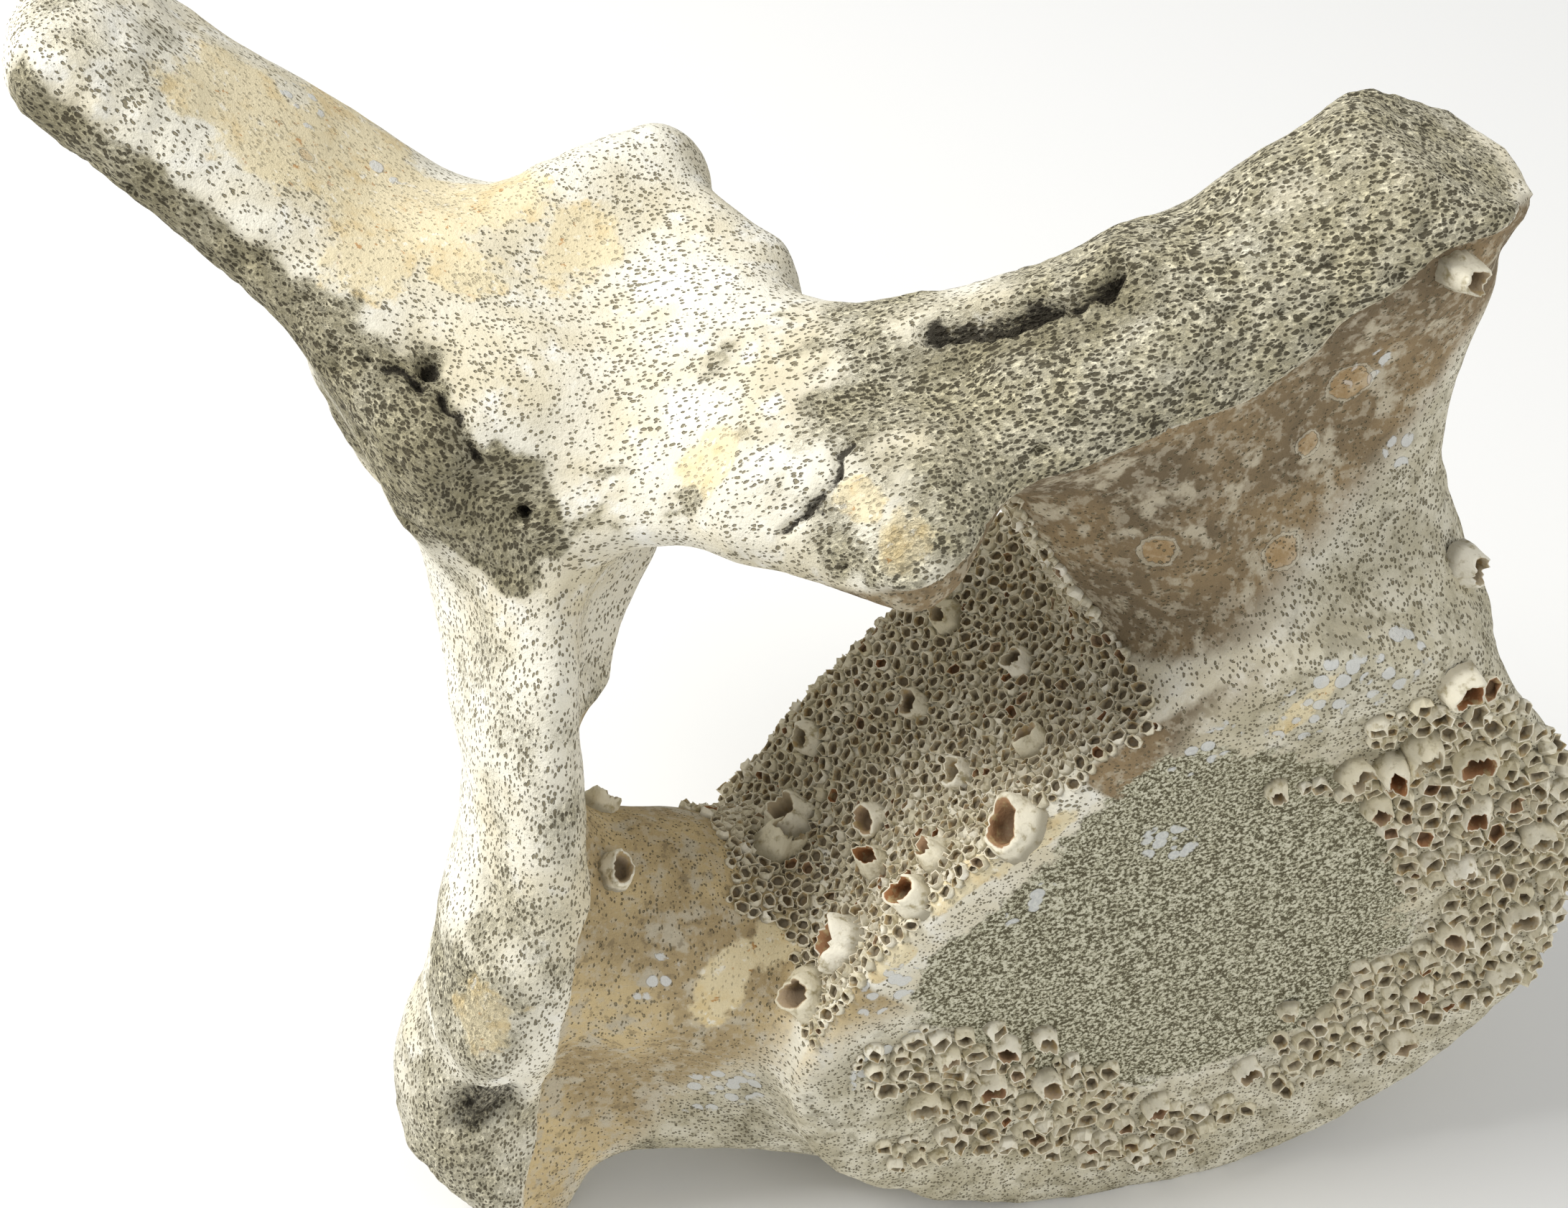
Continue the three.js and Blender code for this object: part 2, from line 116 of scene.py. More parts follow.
def limb_distance(points, stations, broad):
    """Distance from points (n, 3) to a chain of oval capsules. With a point's offsets scaled by
    the half sizes to s, k = |s| and g = |s / half sizes|, the distance is k (k - 1) / g."""
    rows = through_stations(stations)
    nearest = np.full(len(points), np.inf, np.float32)
    for start, end in zip(rows, rows[1:]):
        axis = end[:3] - start[:3]
        length = np.linalg.norm(axis)
        axis = axis / length
        wide = np.array(broad, float)
        wide = wide - axis * (wide @ axis)
        wide = wide / np.linalg.norm(wide)
        turn = np.stack([axis, wide, np.cross(axis, wide)]).astype(np.float32)
        local = (points - start[:3].astype(np.float32)) @ turn.T
        t = np.clip(local[:, 0] / length, 0, 1)
        breadth = start[3] + (end[3] - start[3]) * t
        depth = start[4] + (end[4] - start[4]) * t
        cap = np.minimum(breadth, depth)
        s = np.stack([(local[:, 0] - t * length) / cap, local[:, 1] / breadth, local[:, 2] / depth])
        k = np.sqrt((s * s).sum(0))
        g = np.sqrt(((s / np.stack([cap, breadth, depth])) ** 2).sum(0)) + 1e-9
        nearest = np.minimum(nearest, k * (k - 1) / g)
    return nearest


print("stations of a limb become", len(through_stations([[0] * 5] * 4)), "rows")

# %% [markdown]
# ## The named limbs
# Each limb is a row of stations: x, y, z, half breadth and half thickness. The strut runs from the
# root of the spine to the tip of the transverse process. The pedicle and the web carry it on the
# body. The other rows are the small processes that grow from it.

# %% Stations of the spine and the arch
ALONG_BODY = (0, 1, 0.15)
SPINE = [(0, 72, 196, 58, 20), (0, 95, 228, 50, 18), (0, 110, 264, 40, 17), (0, 125, 310, 35, 16)]
LEFT_SIDE = {
    "strut": [(6, 64, 196, 42, 20), (40, 30, 176, 34, 15), (82, 6, 150, 28, 15),
              (125, 3, 126, 24, 17), (158, 6, 110, 24, 19), (200, 9, 97, 24, 21)],
    "knob": [(104, 0, 142, 20, 13), (128, 0, 132, 20, 13)],
    "postzygapophysis": [(8, 92, 200, 34, 20), (30, 101, 190, 28, 16), (50, 107, 179, 20, 12)],
    "lamina_edge": [(40, 82, 181, 22, 13), (54, 62, 168, 20, 13)],
    "prezygapophysis": [(46, 0, 172, 16, 12), (70, -24, 154, 20, 13)],
    "pedicle": [(84, 2, 44, 32, 32), (98, 4, 82, 38, 28), (112, 4, 112, 40, 20)],
    "web": [(102, -6, 24, 26, 24), (124, 0, 52, 24, 18), (164, 6, 80, 22, 16)],
    "tip": (202, 0.3),
}
RIGHT_SIDE = {
    "strut": [(6, 64, 196, 42, 20), (40, 28, 171, 34, 14), (80, 8, 142, 27, 13),
              (122, 2, 120, 24, 15), (152, 2, 106, 24, 18), (180, -1, 74, 24, 21)],
    "knob": [(98, -4, 135, 20, 12), (120, -8, 124, 18, 12)],
    "postzygapophysis": [(10, 84, 200, 32, 18), (28, 84, 190, 22, 12)],
    "lamina_edge": [(0, 46, 180, 24, 14), (26, 40, 171, 24, 13), (44, 30, 158, 20, 11)],
    "pedicle": [(78, 4, 44, 32, 34), (90, 6, 90, 36, 32), (106, 8, 114, 42, 20)],
    "web": [(100, -6, 24, 26, 22), (122, 0, 54, 24, 18), (150, 4, 82, 22, 16)],
    "tip": (180, 0.0),
}
# Which way the broad side of each limb points, and how softly it joins the others.
JOINTS = {
    "strut": (ALONG_BODY, 0), "knob": ((0, 1, 0), 10), "postzygapophysis": ((1, 0, 0), 20),
    "lamina_edge": ((1, 0, -0.3), 16), "prezygapophysis": ((1, 0, -0.4), 14),
    "pedicle": ((1, 0, -0.3), 16), "web": ((1, 0, -0.6), 22),
}
print("limbs on the left:", [name for name in LEFT_SIDE if name != "tip"])


# %% Distance to one side of the arch
def ellipsoid_distance(points, centre, radii):
    """Distance to an ellipsoid: with s the offset over the radii, k (k - 1) / g as for a limb."""
    radii = np.array(radii, np.float32)
    s = (points - np.array(centre, np.float32)) / radii
    k = np.sqrt((s * s).sum(1))
    return k * (k - 1) / (np.sqrt(((s / radii) ** 2).sum(1)) + 1e-9)


def arch_distance(points, side, sign):
    """One side of the arch; sign is 1 for the animal's left and -1 for its right."""
    mirror = np.array([sign, 1, 1], np.float32)
    points = points * mirror
    total = None
    for name, (broad, softness) in JOINTS.items():
        if name not in side:
            continue
        broad = (sign * broad[0], broad[1], broad[2])
        one = limb_distance(points, side[name], broad)
        total = one if total is None else smooth_min(total, one, softness)
    scoop = ellipsoid_distance(points, (128, -52, 78), (46, 34, 48))
    total = smooth_max(total, -scoop, 9)
    reach, slant = side["tip"]
    return smooth_max(total, points[:, 0] + slant * (points[:, 2] - 77) - reach, 8)


sample = np.array([[100, 0, 120], [0, 0, 120]], np.float32)
print("inside the strut and in the canal:", arch_distance(sample, LEFT_SIDE, 1).round(1))


# %% Distance to the body and to the whole bone
HALF_LENGTH, HALF_WIDTH, HEIGHT_ABOVE, HEIGHT_BELOW = 44, 110, 84, 104


def body_distance(points):
    """A drum with a superellipse section, (|x/a|ⁿ + |z/b|ⁿ)^(1/n) = 1, waisted half way along."""
    x = points[:, 0] - 5
    y = points[:, 1]
    z = points[:, 2]
    along = np.clip(y / HALF_LENGTH, -1, 1)
    waist = 1 - 0.10 * (1 - along * along)
    dorsal = z > 0
    power = np.where(dorsal, 2.7, np.where(x > 0, 1.95, 1.7))
    height = np.where(dorsal, HEIGHT_ABOVE, HEIGHT_BELOW) * waist
    scaled = (np.abs(x / (HALF_WIDTH * waist)) ** power + np.abs(z / height) ** power) ** (1 / power)
    radial = np.hypot(x, z) * (1 - 1 / (scaled + 1e-6))
    return smooth_max(radial, np.abs(y) - HALF_LENGTH, 10)


def bone_distance(points):
    """The smooth union of both sides of the arch, the body and the spine."""
    arch = smooth_min(arch_distance(points, LEFT_SIDE, 1), arch_distance(points, RIGHT_SIDE, -1), 20)
    with_body = smooth_min(body_distance(points), arch, 22)
    return smooth_min(with_body, limb_distance(points, SPINE, (0, 1, 0)), 26)


print("middle of the body:", bone_distance(np.zeros((1, 3), np.float32)).round(1))

# %% [markdown]
# ## Drawing the skin
# The formula is worked out on a coarse grid, because it costs time, and the grid is then made three
# times finer by a cubic curve through its values. A surface net puts one vertex in every fine cell
# that the skin crosses and one square face across every grid edge that it cuts. Unlike marching
# cubes it gives even squares, which take small displacements well.

# %% The distance on a grid
COARSE = 3.9
FINE = COARSE / 3
CORNER = np.array([-214.0, -68.0, -120.0])
COUNT = np.array([112, 66, 122])


def grid_values():
    """The distance at every point of the coarse grid, worked out in sixty parts to save memory."""
    axes = [CORNER[i] + COARSE * np.arange(COUNT[i]) for i in range(3)]
    points = np.stack(np.meshgrid(*axes, indexing="ij"), -1).reshape(-1, 3).astype(np.float32)
    parts = [bone_distance(part) for part in np.array_split(points, 60)]
    return np.concatenate(parts).reshape(COUNT).astype(np.float32)


def three_times_finer(values, axis):
    """Puts two values between neighbours along one axis, on the Catmull-Rom cubic through four."""
    values = np.moveaxis(values, axis, 0)
    padded = np.concatenate([values[:1], values, values[-1:]])
    before, here, there, after = padded[:-3], padded[1:-2], padded[2:-1], padded[3:]
    out = np.empty((3 * (len(values) - 1) + 1,) + values.shape[1:], np.float32)
    out[::3] = values
    for step in (1, 2):
        t = step / 3
        out[step::3] = (here + 0.5 * t * (there - before)
                        + t * t * (before - 2.5 * here + 2 * there - 0.5 * after)
                        + 0.5 * t**3 * (3 * here - before - 3 * there + after))
    return np.moveaxis(out, 0, axis)


values = grid_values()
for axis in range(3):
    values = three_times_finer(values, axis)
print("fine grid:", values.shape, "with", int((values < 0).sum()), "points in the bone")


# %% Vertices of the net
def net_vertices(values, cells):
    """For each cell the mean of its edge crossings, where values pass zero on a straight line."""
    total = np.zeros((len(cells), 3))
    crossings = np.zeros(len(cells))
    corners = [np.array([c & 1, (c >> 1) & 1, c >> 2]) for c in range(8)]
    for p in corners:
        for q in corners:
            if (q - p).sum() != 1 or (q - p).min() < 0:
                continue
            a = values[tuple((cells + p).T)]
            b = values[tuple((cells + q).T)]
            crossed = (a < 0) != (b < 0)
            t = np.where(crossed, a / np.where(crossed, a - b, 1), 0)
            total += crossed[:, None] * (p + (q - p) * t[:, None])
            crossings += crossed
    return cells + total / crossings[:, None]


print("the net has vertices only where the skin crosses a cell, of", values.size, "cells")


# %% Faces of the net
def surface_net(values):
    """Vertices in mm and square faces of the skin where values pass zero, facing outwards."""
    inside = values < 0
    nx, ny, nz = np.array(inside.shape) - 1
    corners = sum(inside[i:i + nx, j:j + ny, k:k + nz].astype(np.int8)
                  for i in (0, 1) for j in (0, 1) for k in (0, 1))
    mixed = (corners > 0) & (corners < 8)
    number = np.full(mixed.shape, -1, np.int32)
    number[mixed] = np.arange(mixed.sum())
    vertices = net_vertices(values, np.argwhere(mixed))
    faces = []
    for e in range(3):
        u, v = (e + 1) % 3, (e + 2) % 3
        ahead = np.moveaxis(inside, (e, u, v), (0, 1, 2))
        edges = np.argwhere(ahead[:-1] != ahead[1:])
        starts_inside = ahead[tuple(edges.T)]
        cells = np.moveaxis(number, (e, u, v), (0, 1, 2))
        ring = [cells[edges[:, 0], edges[:, 1] - a, edges[:, 2] - b]
                for a, b in ((0, 0), (1, 0), (1, 1), (0, 1))]
        quads = np.stack(ring, 1)
        quads[~starts_inside] = quads[~starts_inside][:, ::-1]
        faces.append(quads)
    return vertices * FINE + CORNER, np.concatenate(faces)


skin, skin_faces = surface_net(values)
del values
print("skin:", len(skin), "vertices and", len(skin_faces), "squares")


# %% Normals of the skin
def vertex_normals(vertices, faces):
    """Adds up the cross products of the face diagonals at each vertex and makes them one long."""
    cross = np.cross(vertices[faces[:, 2]] - vertices[faces[:, 0]],
                     vertices[faces[:, 3]] - vertices[faces[:, 1]])
    normals = np.stack([np.bincount(faces.ravel(), np.repeat(cross[:, i], 4), len(vertices))
                        for i in range(3)], 1)
    return normals / np.linalg.norm(normals, axis=1, keepdims=True)


smooth_skin = skin.copy()
smooth_normals = vertex_normals(skin, skin_faces)
print("mean outward direction:", smooth_normals.mean(0).round(2))

# %% [markdown]
# ## Chance that repeats
# Wear is irregular, but the bone has to be the same each time it is made. So every random number
# comes from a table with a fixed seed. Lattice noise joins random numbers on a cubic lattice, which
# gives hills and hollows. Cell noise scatters one point in each cube and measures the distance to
# the nearest, which gives round pits.

# %% Noise in space
rng = np.random.default_rng(19)
TABLE = rng.random((32, 32, 32, 4)).astype(np.float32)


def lattice_noise(points, wavelength, channel=0):
    """Noise from -1 to 1 that changes over about one wavelength, joined by t²(3 - 2t)."""
    scaled = points / wavelength + 7.3 * channel
    cell = np.floor(scaled).astype(int)
    t = scaled - cell
    t = t * t * (3 - 2 * t)
    total = 0
    for i in (0, 1):
        for j in (0, 1):
            for k in (0, 1):
                corner = TABLE[(cell[:, 0] + i) % 32, (cell[:, 1] + j) % 32, (cell[:, 2] + k) % 32,
                               channel % 4]
                weight = ((t[:, 0] if i else 1 - t[:, 0]) * (t[:, 1] if j else 1 - t[:, 1])
                          * (t[:, 2] if k else 1 - t[:, 2]))
                total = total + weight * corner
    return 2 * total - 1


def rough_noise(points, wavelength, octaves=3, channel=0):
    """Lattice noise with finer noise on top, each octave half as long and half as strong."""
    total = 0
    for octave in range(octaves):
        total = total + lattice_noise(points, wavelength / 2**octave, channel + octave) / 2**octave
    return total


print("noise spread:", lattice_noise(skin[:5000], 9.0).std().round(2))


# %% Scattered points
def cell_noise(points, size):
    """Distance in mm to the nearest scattered point, and that point's own random number."""
    scaled = points / size
    cell = np.floor(scaled).astype(int)
    nearest = np.full(len(points), 9.0)
    lot = np.zeros(len(points))
    for shift in np.ndindex(3, 3, 3):
        home = cell + np.array(shift) - 1
        entry = TABLE[home[:, 0] % 32, home[:, 1] % 32, home[:, 2] % 32]
        gap = np.linalg.norm(home + entry[:, :3] - scaled, axis=1)
        closer = gap < nearest
        nearest = np.where(closer, gap, nearest)
        lot = np.where(closer, entry[:, 3], lot)
    return nearest * size, lot


print("mean gap to a point:", cell_noise(skin[:5000], 5.0)[0].mean().round(2), "mm in cells of 5 mm")

# %% [markdown]
# ## Reading places on the bone
# Wear, dirt and growth belong to places, so two small tools measure nearness: to a path, for cracks
# and grooves, and to a soft oval spot, for patches. Paths and spots are in anatomical millimetres.

# %% Nearness to a path or a spot
def path_distance(points, path):
    """Distance in mm from each point to a chain of straight pieces."""
    path = np.array(path, float)
    nearest = np.full(len(points), np.inf)
    for start, end in zip(path, path[1:]):
        way = end - start
        t = np.clip((points - start) @ way / (way @ way), 0, 1)
        nearest = np.minimum(nearest, np.linalg.norm(points - start - t[:, None] * way, axis=1))
    return nearest


def spot(points, centre, radii, ragged=0.25, size=9.0):
    """1 inside an oval, 0 outside, with a ragged edge made by noise."""
    k = np.linalg.norm((points - np.array(centre, float)) / np.array(radii, float), axis=1)
    near = k < 1.8
    value = np.zeros(len(points))
    edge = ragged * rough_noise(points[near], size, 3, 1)
    value[near] = 1 - ease(k[near] + edge, 0.75, 1.15)
    return value


def most(*layers):
    """The largest of several numbers at each point."""
    return np.maximum.reduce(layers)


def nearness(points, centres):
    """1 at a centre and 0.5 on its oval, falling on a straight line; the material draws the edge."""
    value = np.zeros(len(points))
    for centre, radii in centres:
        offset = (points - np.array(centre, float)) / np.array(radii, float)
        value = np.maximum(value, 1 - 0.5 * np.linalg.norm(offset, axis=1))
    return value


x, y, z = smooth_skin.T
nx, ny, nz = smooth_normals.T
print("height of the bone along Z:", round(float(np.ptp(z)), 1), "mm")

# %% [markdown]
# ## Zones of the surface
# The bone shows four kinds of surface. The arch and the spine are bleached and finely pored. The
# strut on the animal's left is worn down to spongy bone. The front of the pedicles and webs is
# smooth and beige, and ends upwards at a sharp ridge. The front of the body is a grey oval of fine
# pores, where the growth plate has fallen off. Each zone becomes a number from 0 to 1 on every
# vertex, which the wear below and the material later both read.

# %% The ridge and the smooth wings below it
LEFT_RIDGE = [(40, 162), (60, 160), (96, 137), (134, 112), (165, 104), (183, 99), (215, 74)]
RIGHT_RIDGE = [(40, 150), (70, 134), (90, 126), (110, 112), (130, 100), (160, 82), (200, 60)]
ridge_left = np.interp(np.abs(x), *np.array(LEFT_RIDGE, float).T)
ridge_right = np.interp(np.abs(x), *np.array(RIGHT_RIDGE, float).T)
ridge_height = np.where(x > 0, ridge_left, ridge_right) + 2.0 * lattice_noise(smooth_skin, 11.0, 2)
faces_front = ease(-ny, 0.15, 0.5)
faces_canal = ease(-nx * np.sign(x), 0.3, 0.7) * (np.abs(x) < 96) * (y < 40)
wing_foot = 56 + 8 * lattice_noise(smooth_skin, 26.0, 1)
beige = most(faces_front * (y < 20), faces_canal) * ease(ridge_height - z, -1.5, 1.5)
beige = beige * ease(z, wing_foot, wing_foot + 14) * (np.abs(x) > 40)
print("beige wings on", int((beige > 0.5).sum()), "vertices")

# %% The grey front of the body
face_plane = ease(-ny, 0.6, 0.9) * ease(-y, 38, 42)
oval = np.hypot((x - 14) / 54, (z - 22) / 60) + 0.08 * rough_noise(smooth_skin, 24.0, 3, 1)
grey = face_plane * (1 - ease(oval, 1.0, 1.3)) * (1 - ease(z - 0.1 * np.abs(x), 60, 74))
streaky = ease(78 - z, 0, 24) * (1 - grey) * (1 - beige)
print("grey front on", int((grey > 0.5).sum()), "vertices")

# %% Porous and bleached bone
flank_edge = np.interp(z, (200, 218, 235, 245, 257, 276, 300), (10, 13, 15, 11, 7, 4, 3))
flank_edge = flank_edge + 2.5 * rough_noise(smooth_skin, 7.0, 2, 2)
flank = ease(-ny, 0.1, 0.35) * ease(flank_edge - x, -2.5, 2.5) * ease(z, 198, 216)
root = spot(smooth_skin, (-3, 18, 208), (18, 18, 22), 0.5, 9.0)
strut_left = ease(x, 58, 92) * ease(z - ridge_height, -3, 3) * (1 - beige)
lamina_left = nearness(smooth_skin, [((72, -16, 167), (30, 36, 18))])
lamina_left = ease(lamina_left + 0.3 * rough_noise(smooth_skin, 9.0, 3, 1), 0.25, 0.85)
column = ease(-x, 8, 30) * ease(-ny, -0.2, 0.4) * (z > 120)
low_wing = ease(np.abs(x), 52, 74) * ease(74 - z, 0, 14) * (1 - beige)
column_low = spot(smooth_skin, (-108, -8, 140), (30, 30, 26), 0.5, 12.0)
end_right = ease(-x, 124, 140) * (1 - beige)
spine_end = ease(z, 276, 300)
tip_left = ease(x + 0.3 * (z - 77), 176, 196)
clusters = rough_noise(smooth_skin, 13.0, 3, 0)
porous = most(0.34 + 0 * x, 0.9 * flank, root, 0.85 * strut_left, 0.8 * lamina_left, 0.65 * column_low,
              0.52 * column, 0.65 * end_right, 0.5 * spine_end, 0.4 * streaky, 0.38 * low_wing)
crest = ease(nearness(smooth_skin, [((112, 18, 157), (38, 10, 13))]), 0.4, 0.6)
porous = porous * (1 - 0.35 * crest) * (1 + 0.4 * clusters * (1 - 0.5 * flank))
porous = np.clip(porous, 0, 1) * (1 - 0.93 * beige) * (1 - grey)
spongy = ease(porous, 0.5, 0.9)
print("porosity runs from", porous.min().round(2), "to", porous.max().round(2))

# %% [markdown]
# ## Wear
# Real bone has been rolled by the surf. A sculptor would carve the wear with brushes. Here each mark
# is a height in millimetres on every vertex, because heights add up, repeat exactly and can be named.
# A few broad dents and swellings come first, since noise alone makes every limb look alike. Then
# noise makes the limbs uneven and their ends blunt. All of it moves the vertices along their
# normals, so it is real shape and shows in every view.

# %% Swellings and dents
DENTS = [  # centre, radii and millimetres outwards
    ((17, 122, 240), (14, 18, 40), 3.0), ((71, 66, 168), (16, 18, 14), -3.0),
    ((124, 16, 146), (30, 14, 14), -2.4), ((150, -8, 50), (30, 16, 34), -4.5),
    ((113, -30, 22), (14, 24, 26), 5.5), ((-28, 20, 152), (24, 18, 26), -4.5),
    ((-46, 34, 190), (26, 20, 26), -4.0), ((150, 12, 132), (16, 14, 10), -1.5),
]
push = 0 * x
for centre, radii, height in DENTS:
    push = push + height * ease(1.5 - np.linalg.norm((smooth_skin - centre) / radii, axis=1), 0, 1.4)
print("dents and swellings from", push.min().round(1), "to", push.max().round(1), "mm")

# %% Uneven limbs and broken ends
broken_end = most(tip_left, spine_end * (y > 80), ease(-x, 158, 176),
                  spot(smooth_skin, (-138, -12, 128), (20, 26, 20)))
body_rim = ease(np.abs(oval), 1.1, 1.4) * (z < 40)
uneven = 0.9 * lattice_noise(smooth_skin, 46.0, 0) + 0.55 * rough_noise(smooth_skin, 17.0, 2, 1)
push = push + uneven * (1 - 0.7 * beige) * (1 - 0.75 * grey)
push = push + (0.9 * broken_end + 0.5 * body_rim) * rough_noise(smooth_skin, 9.0, 3, 2)
push = push + 0.34 * (0.3 + spongy) * rough_noise(smooth_skin, 4.6, 2, 3)
print("uneven by", uneven.std().round(2), "mm")

# %% The lip of the ridge over the smooth wings
LIP = 1.5
over_ridge = (z - ridge_height) * faces_front
edge_share = faces_front * ease(np.abs(x), 52, 66) * (y < 20)
push = push + LIP * edge_share * ease(over_ridge, -0.5, 1.5) * (1 - ease(over_ridge, 3, 14))
push = push - LIP * edge_share * ease(-over_ridge, -0.5, 1.5) * (1 - ease(-over_ridge, 4, 18))
print("the lip runs along", int((edge_share > 0.5).sum()), "vertices of the wings")

# %% [markdown]
# ## Pits, crevice, groove and cracks
# Spongy bone breaks open in round pits. A crevice runs under the crest of the strut, a groove down
# the flank of the spine, and two thin cracks cross the arch. Cutting them out with tools would leave
# clean edges, but real cracks wander and have crumbled lips. So each is a path, and the distance to
# it is measured from points that noise has shaken by a millimetre or two.

# %% Open pits in the spongy bone
stretch = np.where(np.abs(x)[:, None] > 40, np.array([0.62, 1, 0.8]), np.array([1, 0.8, 0.62]))
pit_gap, pit_lot = cell_noise(smooth_skin * stretch, 5.4)
pit_width = 0.8 + 1.5 * pit_lot
pits = (1 - ease(pit_gap, 0.35 * pit_width, pit_width)) * (pit_lot > 0.35)
push = push - 1.5 * pits * spongy
HOLES = [((3, 16, 205), 2.6), ((13, 41, 234), 3.6)]  # centre and radius
hole = most(*[1 - ease(np.linalg.norm(smooth_skin - place, axis=1), 0.35 * width, width)
              for place, width in HOLES])
push = push - 4.5 * hole
print("deepest pit so far:", push.min().round(1), "mm")

# %% The crest of the left strut and the crevice under it
CREVICE = [(92, 12, 162), (102, 11, 158), (112, 5, 155), (122, 0, 151), (132, 1, 146)]
SHAKE = 1.5
shaken = smooth_skin + SHAKE * np.stack([rough_noise(smooth_skin, 5.0, 2, c) for c in (0, 1, 2)], 1)
crevice_gap = path_distance(shaken, CREVICE)
behind = y - np.interp(x, *np.array(CREVICE)[:, :2].T)
reach = ease(x, 66, 92) * (1 - ease(x, 130, 150)) * (z > 120)
lip = reach * ease(behind, 0, 5) * (1 - ease(behind, 14, 34))
below = reach * ease(-behind, 0, 4) * (1 - ease(-behind, 8, 26))
crevice_gap = crevice_gap + 1.3 * rough_noise(smooth_skin, 9.0, 3, 0) + 1.5 * ease(-x, -100, -88)
crevice = 1 - ease(crevice_gap, 0.4, 4.0)
push = push + 2.6 * lip - 3.2 * below - 6.5 * crevice
print("crevice on", int((crevice > 0.5).sum()), "vertices")

# %% Groove, cracks and recess
GROOVE = [(0, 78, 284), (1, 69, 273), (4, 55, 257), (11, 44, 239), (12, 37, 232), (9, 27, 226),
          (4, 18, 214)]
CRACKS = [
    [(4, 44, 244), (9, 40, 239), (10, 38, 235), (11, 34, 231), (11, 29, 228), (10, 25, 225),
     (8, 23, 220)],
    [(48, -18, 176), (52, -18, 176), (59, -18, 175), (65, -15, 174), (71, -9, 173)],
]
wander = 0.9 * rough_noise(smooth_skin, 6.0, 2, 2)
groove = 1 - ease(path_distance(shaken, GROOVE) + wander, 1.0, 4.5)
crack = most(*[1 - ease(path_distance(shaken, path) + 0.6 * wander, 0.3, 1.9) for path in CRACKS])
recess = spot(smooth_skin, (-141, -20, 112), (12, 12, 9), 0.2)
push = push - 1.6 * groove - 1.8 * crack - 4.0 * recess
print("grooved vertices:", int((groove > 0.5).sum()))

# %% Move the skin
skin = smooth_skin + push[:, None] * smooth_normals
print("wear moves the skin by", np.percentile(push, [1, 50, 99]).round(1), "mm")

# %% [markdown]
# ## Patches that grew or dried on the bone
# Thin crusts of tan lime lie on the spine, the lamina, the knob and the pedicle. Bluish white
# patches are the last of barnacle feet. They are only a fraction of a millimetre thick, so they are
# colour and gloss, not shape.

# %% Crusts, pale patches and scars
TAN_SPOTS = [
    ((15, 108, 280), (14, 16, 22)), ((16, 92, 270), (12, 16, 18)), ((18, 104, 250), (14, 30, 22)),
    ((16, 74, 247), (12, 16, 12)), ((28, 90, 224), (18, 20, 18)), ((38, 72, 206), (14, 12, 10)),
    ((24, 66, 228), (12, 10, 10)), ((45, 5, 187), (9, 8, 7)), ((67, -22, 170), (6, 7, 6)),
    ((68, -34, 164), (8, 7, 8)), ((-113, -22, 137), (13, 9, 9)), ((-71, -22, 88), (17, 9, 8)),
    ((-58, -20, 82), (10, 12, 7)), ((-3, -42, 80), (14, 4, 3)), ((20, -44, 76), (12, 4, 3)),
    ((-30, -44, 77), (8, 4, 3)), ((86, -44, 52), (10, 4, 4)), ((32, 88, 214), (12, 16, 14)),
    ((15, 98, 265), (12, 20, 20)), ((22, 82, 236), (13, 16, 18)),
]
PALE_SPOTS = [
    ((-103, -21, 60), (18, 9, 9)), ((-38, -44, 71), (10, 6, 6)), ((-59, -44, 51), (12, 6, 7)),
    ((3, -44, 61), (8, 4, 4)), ((62, -44, 62), (12, 4, 5)), ((35, -44, 45), (6, 4, 8)),
    ((88, -44, 50), (14, 6, 8)), ((100, -40, 40), (12, 6, 8)), ((139, -15, 60), (4, 4, 5)),
    ((150, -13, 86), (6, 4, 4)), ((-30, 44, 60), (14, 6, 10)), ((60, 44, -20), (12, 6, 12)),
    ((-82, -18, 104), (8, 6, 6)), ((24, 104, 242), (8, 10, 6)), ((16, 114, 262), (5, 8, 6)),
]
# The round feet of lost barnacles: a light wall round a tan floor.
SCARS = [((90, -19, 96), 5.0), ((105, -21, 70), 4.6), ((145, -13, 87), 5.6), ((128, -13, 84), 3.8),
         ((88, -21, 104), 2.6), ((21, 84, 232), 2.6), ((17, 96, 262), 2.4), ((-80, -20, 96), 3.0)]
tan = nearness(smooth_skin, TAN_SPOTS)
pale = nearness(smooth_skin, PALE_SPOTS)
scar = nearness(smooth_skin, [(place, (radius,) * 3) for place, radius in SCARS])
print("crust on", int((tan > 0.5).sum()), "vertices, pale on", int((pale > 0.5).sum()))

# %% Dark stains and painted shade
SMEARS = [((56, 35, 185), (12, 9, 8)), ((69, 32, 176), (12, 10, 8)), ((69, 22, 176), (9, 6, 8)),
          ((102, -4, 158), (9, 6, 9)), ((13, 14, 198), (16, 6, 8)), ((30, 3, 187), (16, 5, 6)),
          ((94, 2, 161), (20, 12, 10)), ((-148, -17, 106), (20, 14, 9))]
smear = most(*[spot(smooth_skin, centre, radii, 0.6, 7.0) for centre, radii in SMEARS])
along_strut = smooth_skin - 0.75 * np.outer(smooth_skin @ (0.86, -0.24, -0.46), (0.86, -0.24, -0.46))
smear = smear * ease(rough_noise(along_strut, 4.2, 3, 2), -0.25, 0.35)
# Painted shade under the overhanging crest of the left strut, laid into the stains.
shade_under_crest = ease(x, 70, 95) * reach * (1 - ease(np.abs(behind + 5), 3, 10)) * (z > 140)
patchy = np.clip(0.75 + 1.1 * rough_noise(smooth_skin, 11.0, 3, 1), 0, 1)
